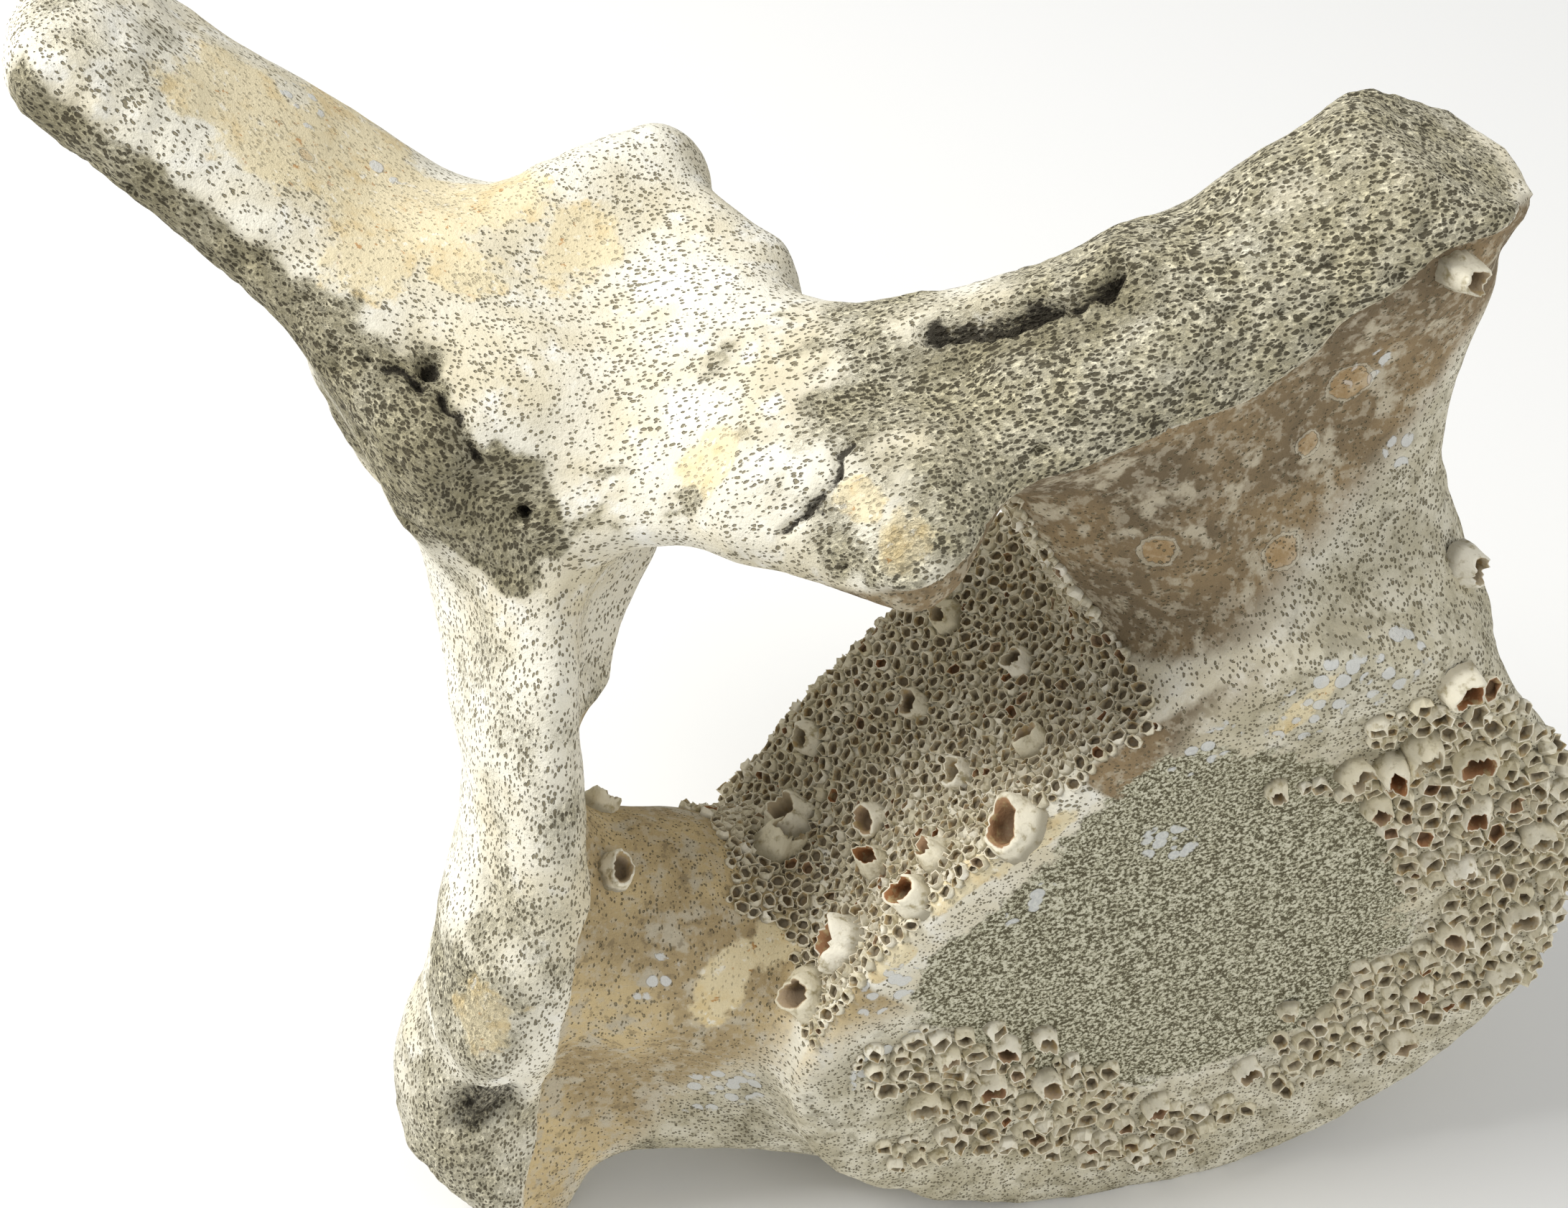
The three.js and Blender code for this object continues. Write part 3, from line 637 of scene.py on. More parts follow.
# Real stains on the flank, the root, the smears and the worn zones, and painted shade under the crest and
# in the recess.
stain_and_shade = most(0.9 * flank * (0.5 + 0.5 * patchy), 0.75 * root, 0.1 * strut_left, 0.4 * smear,
             0.4 * lamina_left * patchy, 0.15 * end_right * patchy, 0.22 * low_wing * patchy,
             0.3 * column_low * patchy, 0.85 * shade_under_crest, 0.5 * recess)
stain_and_shade = stain_and_shade * (1 - ease(tan, 0.4, 0.6)) * (1 - crest)
# Where dirt has smeared, the pores underneath show wider.
porous = most(porous, 0.62 * smear)
# Painted shade: the crevice with its dark core line, the groove, the cracks, the recess, the holes and the
# open pits are darkened where shade falls in them.
crevice_shade_line = 1 - ease(path_distance(shaken, CREVICE) + wander, 0.6, 3.0)
dirt = most(crevice, crevice_shade_line, 0.3 * groove, crack, 0.6 * recess, hole)
dirt = np.clip(dirt + 0.4 * pits * spongy, 0, 1)
print("stained by", stain_and_shade.mean().round(3), "on average")

# %% [markdown]
# ## The direction of the grain
# Pores in bone are long and lie along the limb that they are in: up the spine, out along each strut,
# and from front to back on the body. Each vertex learns which of these four directions holds there.

# %% Which grain holds where
SPINE_GRAIN = (0, 54, 114)
LEFT_GRAIN = (194, -55, -104)
RIGHT_GRAIN = (-194, -55, -104)
BODY_GRAIN = (0, 1, 0)
on_spine = ease(z + 0.25 * (y - 72), 196, 226)
on_left = ease(x, -16, 16)
on_body = ease(86 - z, 0, 20)
print("share of the skin with the spine's grain:", on_spine.mean().round(2))

# %% [markdown]
# ## Laying the bone down
# The bone is rolled by 48 degrees about its long axis and stands on the rim of its body and the tip
# of a transverse process. What would sink below the floor is pressed flat, as it is worn on the
# real one. The objects could be turned instead, but a finished piece keeps its place in its mesh, so
# the vertices are turned. The spine's own box in the CAD model tells how far they are shifted, and
# for that the planes that part the solids come first.

# %% The planes that part the solids
def node_of(points):
    """The solid that each point of the skin belongs to, by the planes that part the solids."""
    px, py, pz = points.T
    side = np.where(px > 0, "left", "right")
    body = pz < 152 - 1.02 * np.abs(px)
    roof = 148 + (np.abs(px) - 52) / (130 - 52) * (104 - 148)
    pedicle = (np.abs(px) > 52) & (pz < roof)
    part = np.where(py > 84, "postzygapophysis", "lamina")
    part = np.where(pedicle, "pedicle", part)
    part = np.where(np.abs(px) > 116, "transverse_process", part)
    names = np.char.add(np.char.add(part, "_"), side)
    names = np.where(pz > 207, "neural_spine", names)
    return np.where(body, "vertebral_body", names)


print("the highest vertex belongs to", node_of(smooth_skin[[smooth_skin[:, 2].argmax()]])[0])


# %% From the anatomical frame to the floor
ROLL = np.radians(48)
FLOOR_DEPTH = 91.5
TURN = np.array([[np.cos(ROLL), 0, -np.sin(ROLL)], [0, 1, 0], [np.sin(ROLL), 0, np.cos(ROLL)]])
node_names = node_of(smooth_skin)
laid = smooth_skin[node_names == "neural_spine"] @ TURN.T
SHIFT = np.mean(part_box("neural_spine"), 0) / MM - (laid.min(0) + laid.max(0)) / 2
print("height of the body's middle:", SHIFT[2].round(2), "mm, should be", FLOOR_DEPTH)
SHIFT[2] = FLOOR_DEPTH


def to_floor(points):
    """Anatomical millimetres to the part's own frame, still in millimetres."""
    placed = points @ TURN.T + SHIFT
    placed[:, 2] = np.maximum(placed[:, 2], 0)
    return placed


placed_skin = to_floor(skin)
placed_normals = vertex_normals(placed_skin, skin_faces)
print("shift from the body's middle:", SHIFT.round(1), "mm")
print("skin from", placed_skin.min(0).round(1), "to", placed_skin.max(0).round(1))


# %% [markdown]
# ## From arrays to objects
# One helper turns arrays into a Blender mesh with its numbers for the material. The skin is parted
# into the same ten pieces as the solids, each under its anatomical name, but the pieces share their
# border vertices and normals, so no seam shows.

# %% Mesh helper
def make_piece(name, vertices, faces, numbers, normals=None, smooth=True):
    """An object from vertices in mm, faces with a fixed count of corners, and named arrays."""
    mesh = bpy.data.meshes.new(name)
    corners = faces.shape[1]
    mesh.vertices.add(len(vertices))
    mesh.vertices.foreach_set("co", (vertices * MM).astype(np.float32).ravel())
    mesh.loops.add(faces.size)
    mesh.loops.foreach_set("vertex_index", faces.astype(np.int32).ravel())
    mesh.polygons.add(len(faces))
    mesh.polygons.foreach_set("loop_start", np.arange(0, faces.size, corners, dtype=np.int32))
    mesh.update(calc_edges=True)
    mesh.polygons.foreach_set("use_smooth", np.full(len(faces), smooth))
    for key, array in numbers.items():
        kind, field = ("FLOAT_VECTOR", "vector") if array.ndim == 2 else ("FLOAT", "value")
        layer = mesh.attributes.new(key, kind, "POINT")
        layer.data.foreach_set(field, array.astype(np.float32).ravel())
    if normals is not None:
        mesh.normals_split_custom_set_from_vertices(normals.tolist())
    mesh.validate()
    piece = bpy.data.objects.new(name, mesh)
    bpy.context.scene.collection.objects.link(piece)
    return piece


print("meshes are in metres, so lengths are multiplied by", MM)

# %% Part the skin like the solids
face_node = node_of(smooth_skin[skin_faces].mean(1))
ZONES = {"porous": porous, "beige": beige, "grey": grey, "streaky": streaky, "tan": tan, "pale": pale,
         "scar": scar, "stain_and_shade": stain_and_shade, "dirt": dirt, "on_body": on_body, "on_spine": on_spine,
         "on_left": on_left}
bone_pieces = []
for node in frame["nodes"]:
    own = skin_faces[face_node == node]
    used, renumbered = np.unique(own, return_inverse=True)
    numbers = {key: array[used] for key, array in ZONES.items()}
    piece = make_piece(node + "_bone", placed_skin[used], renumbered.reshape(-1, 4), numbers,
                       placed_normals[used])
    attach(piece, "root")
    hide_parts(node)
    bone_pieces.append(piece)
    print(piece.name, "has", len(own), "faces")


# %% [markdown]
# ## Material tools
# Every finish is a small tree of nodes. One helper adds a node with its settings and links, and
# another turns the hex colours of a paint chart into the linear numbers that Blender wants. The
# patterns of the tree in hand are kept under their names, so that a mask can be written as a sum of
# named patterns and a colour as a list of coats of paint. Pattern sizes are in millimetres.

# %% Colours and nodes
def linear(hex_colour):
    """sRGB hex such as 'F0EAD6' to linear red, green, blue and alpha."""
    channels = np.array([int(hex_colour[i:i + 2], 16) / 255 for i in (0, 2, 4)])
    channels = np.where(channels <= 0.04045, channels / 12.92, ((channels + 0.055) / 1.055) ** 2.4)
    return (*channels.tolist(), 1.0)


def new_material(name):
    """A material whose tree of nodes is still empty."""
    material = bpy.data.materials.new(name)
    material.use_nodes = True
    material.node_tree.nodes.clear()
    return material


def add_node(kind, sockets=None, output=0, **settings):
    """Adds a node to the tree in hand and gives one of its outputs. sockets maps its inputs to
    values, or to outputs that are linked to them."""
    node = tree.nodes.new("ShaderNode" + kind)
    for key, value in settings.items():
        setattr(node, key, value)
    for key, value in (sockets or {}).items():
        if isinstance(value, bpy.types.NodeSocket):
            tree.links.new(value, node.inputs[key])
        else:
            node.inputs[key].default_value = value
    return node.outputs[output] if node.outputs else None


print("cream is", np.round(linear("F0EAD6"), 3))


# %% Masks from named patterns and coats of paint
def total(offset=0.0, **weights):
    """The sum of an offset and weight · pattern for each pattern that is named."""
    for name, weight in weights.items():
        offset = add_node("Math", {0: patterns[name], 1: weight, 2: offset}, operation="MULTIPLY_ADD")
    return offset


def mask(start, end, offset=0.0, top=1.0, **weights):
    """The same sum, eased from 0 at start to top at end along t²(3 - 2t)."""
    return add_node("MapRange", {"Value": total(offset, **weights), "From Min": start, "From Max": end,
                                 "To Max": top}, interpolation_type="SMOOTHSTEP")


def paint(colour, *coats):
    """Lays coats on a colour. A coat is a pattern, the two values between which the coat grows, its
    strongest share and its colour. From 0 to 1 the pattern is taken as it is."""
    colour = linear(colour) if isinstance(colour, str) else colour
    for name, start, end, strongest, tint in coats:
        tint = linear(tint) if isinstance(tint, str) else tint
        kind = "LINEAR" if (start, end) == (0, 1) else "SMOOTHSTEP"
        share = add_node("MapRange", {"Value": patterns[name], "From Min": start, "From Max": end,
                                      "To Max": strongest}, interpolation_type=kind)
        colour = add_node("Mix", {0: share, 6: colour, 7: tint}, 2, data_type="RGBA")
    return colour


print("a coat of paint is two nodes, a mask is two or more")


# %% Patterns and the finished shader
def place_in_mm():
    """The place on the object in millimetres, which moves with it, so that no pattern slides."""
    return add_node("VectorMath", {0: add_node("TexCoord", output="Object"), "Scale": 1 / MM},
                    operation="SCALE")


def add_patterns(zones, noises):
    """Names the numbers of the mesh, and noises by place, mm between hills, detail, roughness."""
    for name in zones:
        patterns[name] = add_node("Attribute", output="Fac", attribute_name=name)
    for name, (place, size_mm, detail, roughness) in noises.items():
        patterns[name] = add_node("TexNoise", {"Vector": place, "Scale": 1 / size_mm, "Detail": detail,
                                               "Roughness": roughness})


def finish_material(material, pieces, colour, relief, depth_mm, strength, roughness, specular):
    """Relief becomes bump of a real depth, and the shader goes on the pieces."""
    bump = add_node("Bump", {"Height": relief, "Strength": strength, "Distance": depth_mm * MM})
    # Lime has an IOR of 1.49 to 1.66 and bone one of about 1.55. 1.5 does for so dull a surface.
    shader = add_node("BsdfPrincipled", {"Base Color": colour, "Normal": bump, "Roughness": roughness,
                                         "Specular IOR Level": specular, "IOR": 1.5, "Metallic": 0.0})
    add_node("OutputMaterial", {"Surface": shader})
    for piece in pieces:
        piece.data.materials.append(material)
    print(material.name, "has", len(tree.nodes), "nodes and is on", len(pieces), "pieces")


print("a millimetre on the object is", MM, "m")

# %% [markdown]
# ## Weathered bone
# The material is dry, sun-bleached whale bone: mineral with the fat and glue weathered out, so it is
# chalky, hardly shines and is never one colour. An image wrapped round the mesh would be the quick
# way, but it stretches and has seams. Here the colour is built up like paint: cream bone first, then
# the tints of the zones, then crusts, stains and painted shade, and last the pores, which are painted
# dark as the shade in their holes. Pores are the cells of a Voronoi pattern, stretched along the
# grain, and each has its own width. The same patterns drive the bump, so dark pores are also deep.

# %% Places along the grain
bone_material = new_material("weathered_whale_bone")
tree = bone_material.node_tree
in_mm = place_in_mm()
patterns = {}
add_patterns(ZONES, {"chance": (in_mm, 6.0, 3.0, 0.55)})


def squeezed(along, share=0.55):
    """The place with its part along a direction made shorter, p + (share - 1) (p · a) a, so that a
    pattern read there is longer along it."""
    along = TURN @ (np.array(along, float) / np.linalg.norm(along))
    part = add_node("VectorMath", {0: in_mm, 1: along}, "Value", operation="DOT_PRODUCT")
    moved = add_node("VectorMath", {0: along * (share - 1), "Scale": part}, operation="SCALE")
    return add_node("VectorMath", {0: in_mm, 1: moved}, operation="ADD")


grain_place = squeezed(RIGHT_GRAIN)
for zone, grain in {"on_left": LEFT_GRAIN, "on_spine": SPINE_GRAIN, "on_body": BODY_GRAIN}.items():
    holds = add_node("Math", {0: patterns[zone], 1: patterns["chance"]}, operation="GREATER_THAN")
    grain_place = add_node("Mix", {0: holds, 4: grain_place, 5: squeezed(grain)}, 1, data_type="VECTOR")
# A wobble of up to 0.9 mm keeps the pores from lining up.
wobble = add_node("TexNoise", {"Vector": in_mm, "Scale": 1 / 2.0, "Detail": 2.0}, "Color")
grain_place = add_node("VectorMath", {0: wobble, 1: (0.9, 0.9, 0.9), 2: grain_place},
                       operation="MULTIPLY_ADD")
# Specks and net stand for pores of 0.3 to 0.5 mm, which are too fine to show and are drawn two or
# three times as coarse. The others have the sizes of the blotches and streaks on such a bone.
add_patterns([], {
    "speck": (in_mm, 0.9, 2.0, 0.7), "net": (grain_place, 1.0, 4.0, 0.7),
    "small": (in_mm, 3.0, 3.0, 0.6), "streak": (grain_place, 4.5, 4.0, 0.6),
    "middle": (in_mm, 9.0, 4.0, 0.6), "large": (in_mm, 17.0, 2.0, 0.55),
    "broad": (in_mm, 38.0, 3.0, 0.55),
})
print("patterns of the bone:", ", ".join(patterns))


# %% Pores and the net of spongy bone
def pores(size_mm, narrow, wide, edge=0.20):
    """Voronoi cells about size_mm apart. Each is open to its own width, from narrow to wide times
    the cell, and the mask falls off over edge."""
    cells = add_node("TexVoronoi", {"Vector": grain_place, "Scale": 1 / size_mm})
    lot = add_node("SeparateColor", {0: cells.node.outputs["Color"]})
    width = add_node("MapRange", {"Value": lot, "To Min": narrow, "To Max": wide})
    outer = add_node("Math", {0: width, 1: edge}, operation="ADD")
    return add_node("MapRange", {"Value": cells, "From Min": width, "From Max": outer, "To Min": 1.0,
                                 "To Max": 0.0}, interpolation_type="SMOOTHSTEP")


# Such pores measure about 0.2 to 1.6 mm. Those under 0.85 mm are too fine to show, so they are drawn
# that wide. The more porous the zone, the wider its cells stand open.
fine_pores = pores(0.85, total(-0.16, porous=0.22), total(0.24, porous=0.30))
large_pores = pores(1.6, -0.55, total(-0.20, porous=0.58))
patterns["network"] = mask(0.62, 0.34, net=1, top=mask(0.38, 0.75, porous=1))
patterns["grey"] = mask(0.35, 0.65, -1.2, grey=1, middle=1.4, small=1)
any_pores = add_node("Math", {0: fine_pores, 1: large_pores}, operation="MAXIMUM")
not_grey = add_node("Math", {0: 1.0, 1: patterns["grey"]}, operation="SUBTRACT")
any_pores = add_node("Math", {0: any_pores, 1: not_grey}, operation="MULTIPLY")
print("pores are cells of 0.85 and 1.6 mm")

# %% Colours of the zones
cream = paint("EEE9D8", ("broad", 0.40, 0.66, 1, "DCD2B6"), ("middle", 0.50, 0.75, 1, "F4F1E6"))
sides = paint("B8B096", ("middle", 0.35, 0.65, 1, "DFD9C4"), ("streak", 0.50, 0.36, 0.6, "7C745A"))
sponge = paint("F1E9CC", ("middle", 0.35, 0.65, 1, "DBD1AB"))
# Painted shade: the wing on the animal's left is darker, as it lies under the overhang of its strut.
left_wing_in_shade = paint("958060", ("broad", 0.36, 0.60, 1, "74654E"))
wings = paint("CDB88C", ("broad", 0.36, 0.60, 1, "A8946F"), ("on_left", 0, 1, 1, left_wing_in_shade),
              ("middle", 0.52, 0.64, 1, "BDB29A"), ("small", 0.50, 0.62, 0.45, "C6BCA6"),
              ("small", 0.42, 0.32, 0.5, "6F624C"))
growth_plate = paint("A9A58B", ("speck", 0.51, 0.44, 1, "5A543F"), ("speck", 0.54, 0.59, 1, "D2CEB8"))
# The colour of the stains, also used for the painted shade under the crest and in the recess.
stain_and_shade_colour = paint("746C50", ("small", 0, 1, 1, "958C6D"))
colour = paint(cream, ("streaky", 0, 1, 0.85, sides), ("porous", 0.35, 0.9, 0.85, sponge),
               ("network", 0, 1, 0.44, "6F6547"), ("beige", 0, 1, 1, wings),
               ("grey", 0, 1, 1, growth_plate), ("stain_and_shade", 0, 1, 0.75, stain_and_shade_colour))
print("zones coloured, with", len(tree.nodes), "nodes")

# %% Crusts, barnacle feet and scars
patterns["crust"] = mask(0.48, 0.62, -0.825, tan=1, small=0.30, middle=0.55, large=0.80)
crust = paint("E6D7B0", ("middle", 0.50, 0.68, 1, "DCC48F"), ("small", 0.60, 0.70, 1, "F0E8D2"),
              ("small", 0.36, 0.30, 1, "BF8F52"))
feet = add_node("TexVoronoi", {"Vector": in_mm, "Scale": 1 / 4.6})
foot = add_node("MapRange", {"Value": feet, "From Min": total(0.28, small=0.24),
                             "From Max": total(0.34, small=0.24), "To Min": 1.0, "To Max": 0.0},
                interpolation_type="SMOOTHSTEP")
patterns["feet"] = mask(0.46, 0.54, -0.24, pale=1, small=0.48, top=foot)
patterns["ring"] = total(-0.335, scar=1, small=0.27, middle=0.4)
patterns["scar_floor"] = mask(0.56, 0.60, ring=1)
beside_floor = add_node("Math", {0: 1.0, 1: patterns["scar_floor"]}, operation="SUBTRACT")
patterns["scar_wall"] = mask(0.47, 0.50, ring=1, top=beside_floor)
colour = paint(colour, ("crust", 0, 1, 0.85, crust), ("feet", 0, 1, 0.8, "D5D6D3"),
               ("scar_floor", 0, 1, 0.4, "C4A170"), ("scar_wall", 0, 1, 0.42, "D3CBB4"))
print("crusts, feet and scars on top")

# %% Pores and hollows painted dark with shade
covered = add_node("Math", {0: total(crust=0.6), 1: patterns["feet"]}, operation="MAXIMUM")
uncovered = add_node("Math", {0: 1.0, 1: covered}, operation="SUBTRACT")
patterns["open_pores"] = add_node("Math", {0: any_pores, 1: uncovered}, operation="MULTIPLY")
patterns["darkness"] = add_node("Math", {0: patterns["stain_and_shade"], 1: mask(0.4, 0.9, porous=1, top=0.8)},
                                operation="MAXIMUM")
# Painted shade, near black, in the crevice, groove, cracks, recess, holes and pits, with a ragged edge from
# the net.
patterns["hollow_shade_mask"] = mask(0.34, 0.80, -0.75, dirt=1, net=1.5)
# The open pores are painted dark as the shade in their holes, darker where the bone is stained or very
# porous.
pore_shade_colour = paint("81775C", ("darkness", 0, 1, 1, "352E1E"))
colour = paint(colour, ("open_pores", 0, 1, 0.9, pore_shade_colour), ("hollow_shade_mask", 0, 1, 0.93, "29231A"))
relief = total(speck=0.5, open_pores=-1, network=-0.8, crust=0.25, feet=0.4, scar_wall=0.6)
finish_material(bone_material, bone_pieces, colour, relief, depth_mm=0.6, strength=1.0, roughness=0.86,
                specular=0.25)

# %% [markdown]
# ## Barnacles
# A barnacle shell is a short cone of wall plates with an open top, and the empty cup inside shows.
# On the floor of the canal they are so crowded that their walls press each other into a honeycomb.
# Around the rim of the body they stand in colonies of larger, paler shells. A modifier or an
# instancer could scatter them, but every one should be a little different and sit upright on the
# skin, so all of them are worked out together as arrays: one profile of rings is turned into a cone
# for each place, bent out of round, jagged at the rim and leaned over by chance.

# %% Where barnacles grow
canal_floor = (ease(98 - z, 0, 10) * ease(z, 58, 66) * (np.abs(x + 2) < 64) * (nz > 0.15) * (ny > -0.5)
               * (y < 46))
canal_wall = ease(x, 48, 56) * (nx < -0.7) * (ny > -0.55) * (y < 40) * (z > 70) * (z < 136) * (x < 92)
honeycomb = most(canal_floor, 0.9 * canal_wall)
COLONIES = [((84, -44, -18), (30, 14, 46)), ((38, -44, -66), (46, 14, 22)), ((-46, -44, -48), (15, 14, 13)),
            ((-56, -44, 7), (26, 14, 37)), ((96, -42, 25), (13, 12, 10)), ((70, 44, -40), (26, 14, 30)),
            ((-50, 44, 20), (20, 14, 26))]
colonies = most(*[spot(smooth_skin, centre, radii, 0.45, 14.0) for centre, radii in COLONIES])
colonies = colonies * ease(np.abs(ny), 0.5, 0.85) * ease(oval, 0.95, 1.12) * (placed_skin[:, 2] > 6)
print("honeycomb on", int((honeycomb > 0.5).sum()), "vertices, colonies on", int((colonies > 0.5).sum()))


# %% Scatter them so that they crowd
# The least distance between two feet over the sum of their radii. Below 1 their walls run into each
# other, as crowded shells grow together.
CROWDING = 0.86


def scatter(growth, tries, smallest, largest, taken):
    """Draws vertices by chance and keeps those that have room; taken holds (x, y, z, radius)."""
    kept = []
    chosen = rng.choice(len(growth), tries, p=growth / growth.sum())
    radii = smallest + (largest - smallest) * rng.random(tries) ** 1.6
    room = np.zeros((len(taken) + tries, 4))
    room[:len(taken)] = taken
    count = len(taken)
    for index in np.argsort(-radii):
        place = skin[chosen[index]]
        gaps = np.linalg.norm(room[:count, :3] - place, axis=1)
        if (gaps < CROWDING * (room[:count, 3] + radii[index])).any():
            continue
        room[count] = (*place, radii[index])
        count += 1
        kept.append((chosen[index], radii[index]))
    return kept


print("two shells stand as close as", CROWDING, "of the sum of their radii")

# %% The larger shells, one by one
LARGE_PLACES = [
    # x, y, z, radius, height, rust inside
    (-42, -28, 76, 6.4, 7.0, 0.9), (-60, -30, 73, 6.6, 5.5, 0.4), (19, -41, 81, 6.8, 6.0, 0.8),
    (-6, -30, 80, 4.6, 5.5, 0.7), (-14, -36, 79, 5.0, 6.0, 1.0), (-26, -14, 77, 4.4, 6.0, 1.0),
    (-57, 8, 78, 5.6, 6.5, 0.1), (-46, 16, 77, 6.6, 6.0, 0.2), (-22, -2, 76, 4.2, 5.0, 0.5),
    (8, -12, 77, 3.8, 4.6, 0.0), (30, -22, 78, 4.0, 5.0, 0.3), (34, 4, 77, 3.8, 4.6, 0.0),
    (2, 16, 76, 4.0, 5.0, 0.2), (-30, 32, 77, 4.2, 5.0, 0.0), (22, 30, 77, 4.0, 4.8, 0.1),
    (108, -42, 25, 4.7, 5.5, 1.0), (76, -44, 23, 3.6, 5.5, 0.1), (83, -44, 15, 4.4, 8.0, 1.0),
    (91, -44, 13, 4.6, 6.5, 0.0), (70, -44, 5, 4.0, 4.5, 0.6), (82, -44, -22, 4.4, 5.0, 0.9),
    (95, -44, -4, 4.8, 6.0, 0.9), (62, -44, 35, 2.8, 4.0, 0.2), (66, -44, -34, 3.8, 4.8, 0.2),
    (84, -44, -44, 4.2, 5.2, 0.0), (48, -44, -52, 3.9, 4.8, 0.4), (62, -44, -66, 4.2, 5.0, 0.1),
    (28, -44, -64, 3.8, 4.6, 0.7), (44, -44, -80, 4.2, 5.0, 0.0), (10, -44, -78, 3.9, 4.6, 0.3),
    (-40, -44, 26, 4.0, 4.5, 0.6), (-49, -44, 39, 3.6, 4.0, 0.3), (-54, -44, 20, 4.2, 4.8, 0.8),
    (-33, -44, 20, 3.2, 4.0, 0.1), (-66, -44, 32, 4.0, 4.8, 0.0), (-46, -44, 6, 4.0, 4.8, 0.4),
    (-40, -44, -32, 3.8, 4.5, 0.7), (-18, -44, -45, 3.8, 4.5, 0.3), (5, -44, -36, 2.8, 3.0, 0.0),
    (-80, 12, 120, 4.2, 4.5, 0.1), (-78, 3, 120, 4.2, 4.5, 0.3), (180, -15, 92, 4.6, 7.0, 0.3),
    (126, -22, 26, 4.8, 6.0, 0.1),
]
large = []
for *place, radius, height, rust in LARGE_PLACES:
    nearest = np.linalg.norm(smooth_skin - place, axis=1).argmin()
    large.append((nearest, radius, height, rust))
print("larger shells:", len(large))

# %% The crowds between them
taken = [(*skin[vertex], radius) for vertex, radius, _, _ in large]
rim_shells = scatter(colonies, 5000, smallest=1.3, largest=3.2, taken=taken)
taken = taken + [(*skin[vertex], radius) for vertex, radius in rim_shells]
canal_shells = scatter(honeycomb, 30000, smallest=0.75, largest=1.9, taken=taken)
print(len(rim_shells), "shells in colonies and", len(canal_shells), "in the canal")


# %% Cones from one profile
def barnacle_rings(vertices, radii, heights, profile, segments, ribs, jagged):
    """Points of many cones. A ring of the profile has radius, height and inside, and its points are
    foot + r (cos θ · u + sin θ · v) + h · n, with r and h bent by waves around the cone."""
    count = len(vertices)
    normal = smooth_normals[vertices] + 0.16 * rng.normal(size=(count, 3))
    normal = normal / np.linalg.norm(normal, axis=1, keepdims=True)
    u = np.cross(normal, rng.normal(size=(count, 3)))
    u = u / np.linalg.norm(u, axis=1, keepdims=True)
    v = np.cross(normal, u)
    angle = 2 * np.pi * np.arange(segments) / segments
    around = np.cos(angle)[:, None] * u[:, None] + np.sin(angle)[:, None] * v[:, None]
    phase = 6.3 * rng.random((count, 3))
    oval_foot = 1 + 0.10 * np.cos(2 * angle - phase[:, :1]) + 0.05 * rng.normal(size=(count, segments))
    kite_mouth = 1 + 0.22 * np.cos(2 * angle) + 0.08 * np.cos(3 * angle - phase[:, 1:2])
    plates = 1 + ribs * np.abs(np.cos(3 * angle - phase[:, 2:3]))
    edge = 1 + jagged * (np.cos(3 * angle - phase[:, 1:2]) + 0.7 * rng.normal(size=(count, segments)))
    openness = 0.85 + 0.35 * rng.random((count, 1))
    rings = []
    for radius, height, inside in profile:
        upper = ease(height, 0.2, 1.0)
        r = radius * (oval_foot + (kite_mouth * openness - oval_foot) * upper)
        r = r * (plates if not inside else 1)
        h = height * (1 + (edge - 1) * upper)
        rings.append((radii[:, None] * r)[..., None] * around
                     + (heights[:, None] * h)[..., None] * normal[:, None])
    return np.stack(rings, 1) + skin[vertices][:, None, None]


CANAL_PROFILE = [(1.02, -0.35, 0), (1.00, 0.30, 0), (0.88, 1.0, 0), (0.76, 0.96, 1), (0.60, 0.25, 1)]
SHELL_PROFILE = [(1.05, -0.30, 0), (0.98, 0.30, 0), (0.80, 1.0, 0), (0.66, 0.95, 1), (0.50, 0.25, 1)]
LARGE_PROFILE = [(1.08, -0.20, 0), (1.03, 0.08, 0), (0.97, 0.35, 0), (0.88, 0.65, 0), (0.78, 0.92, 0),
                 (0.71, 1.0, 0), (0.63, 0.97, 1), (0.58, 0.70, 1), (0.50, 0.35, 1), (0.30, 0.18, 1)]
print("a small shell has", 8 * (len(CANAL_PROFILE) - 1) + 4, "faces")


# %% A flat map of the shells
def lay_flat(piece, faces, count, rings, segments):
    """Gives each shell a square of its own on a flat map named OFBake, with the rings as circles one inside
    the other."""
    side = int(np.ceil(np.sqrt(count)))
    angle = 2 * np.pi * np.arange(segments) / segments
    circle = 0.46 * (1 - np.arange(rings) / rings)
    flat = np.stack([circle[:, None] * np.cos(angle), circle[:, None] * np.sin(angle)], -1)
    home = np.stack([np.arange(count) % side, np.arange(count) // side], -1) + 0.5
    flat = np.concatenate([(home[:, None, None] + flat[None]).reshape(-1, 2), home]) / side
    layer = piece.data.uv_layers.new(name="OFBake")
    layer.data.foreach_set("uv", flat[faces.ravel()].astype(np.float32).ravel())


print("the large shells share a map of", int(np.ceil(np.sqrt(len(large)))), "squares a side")


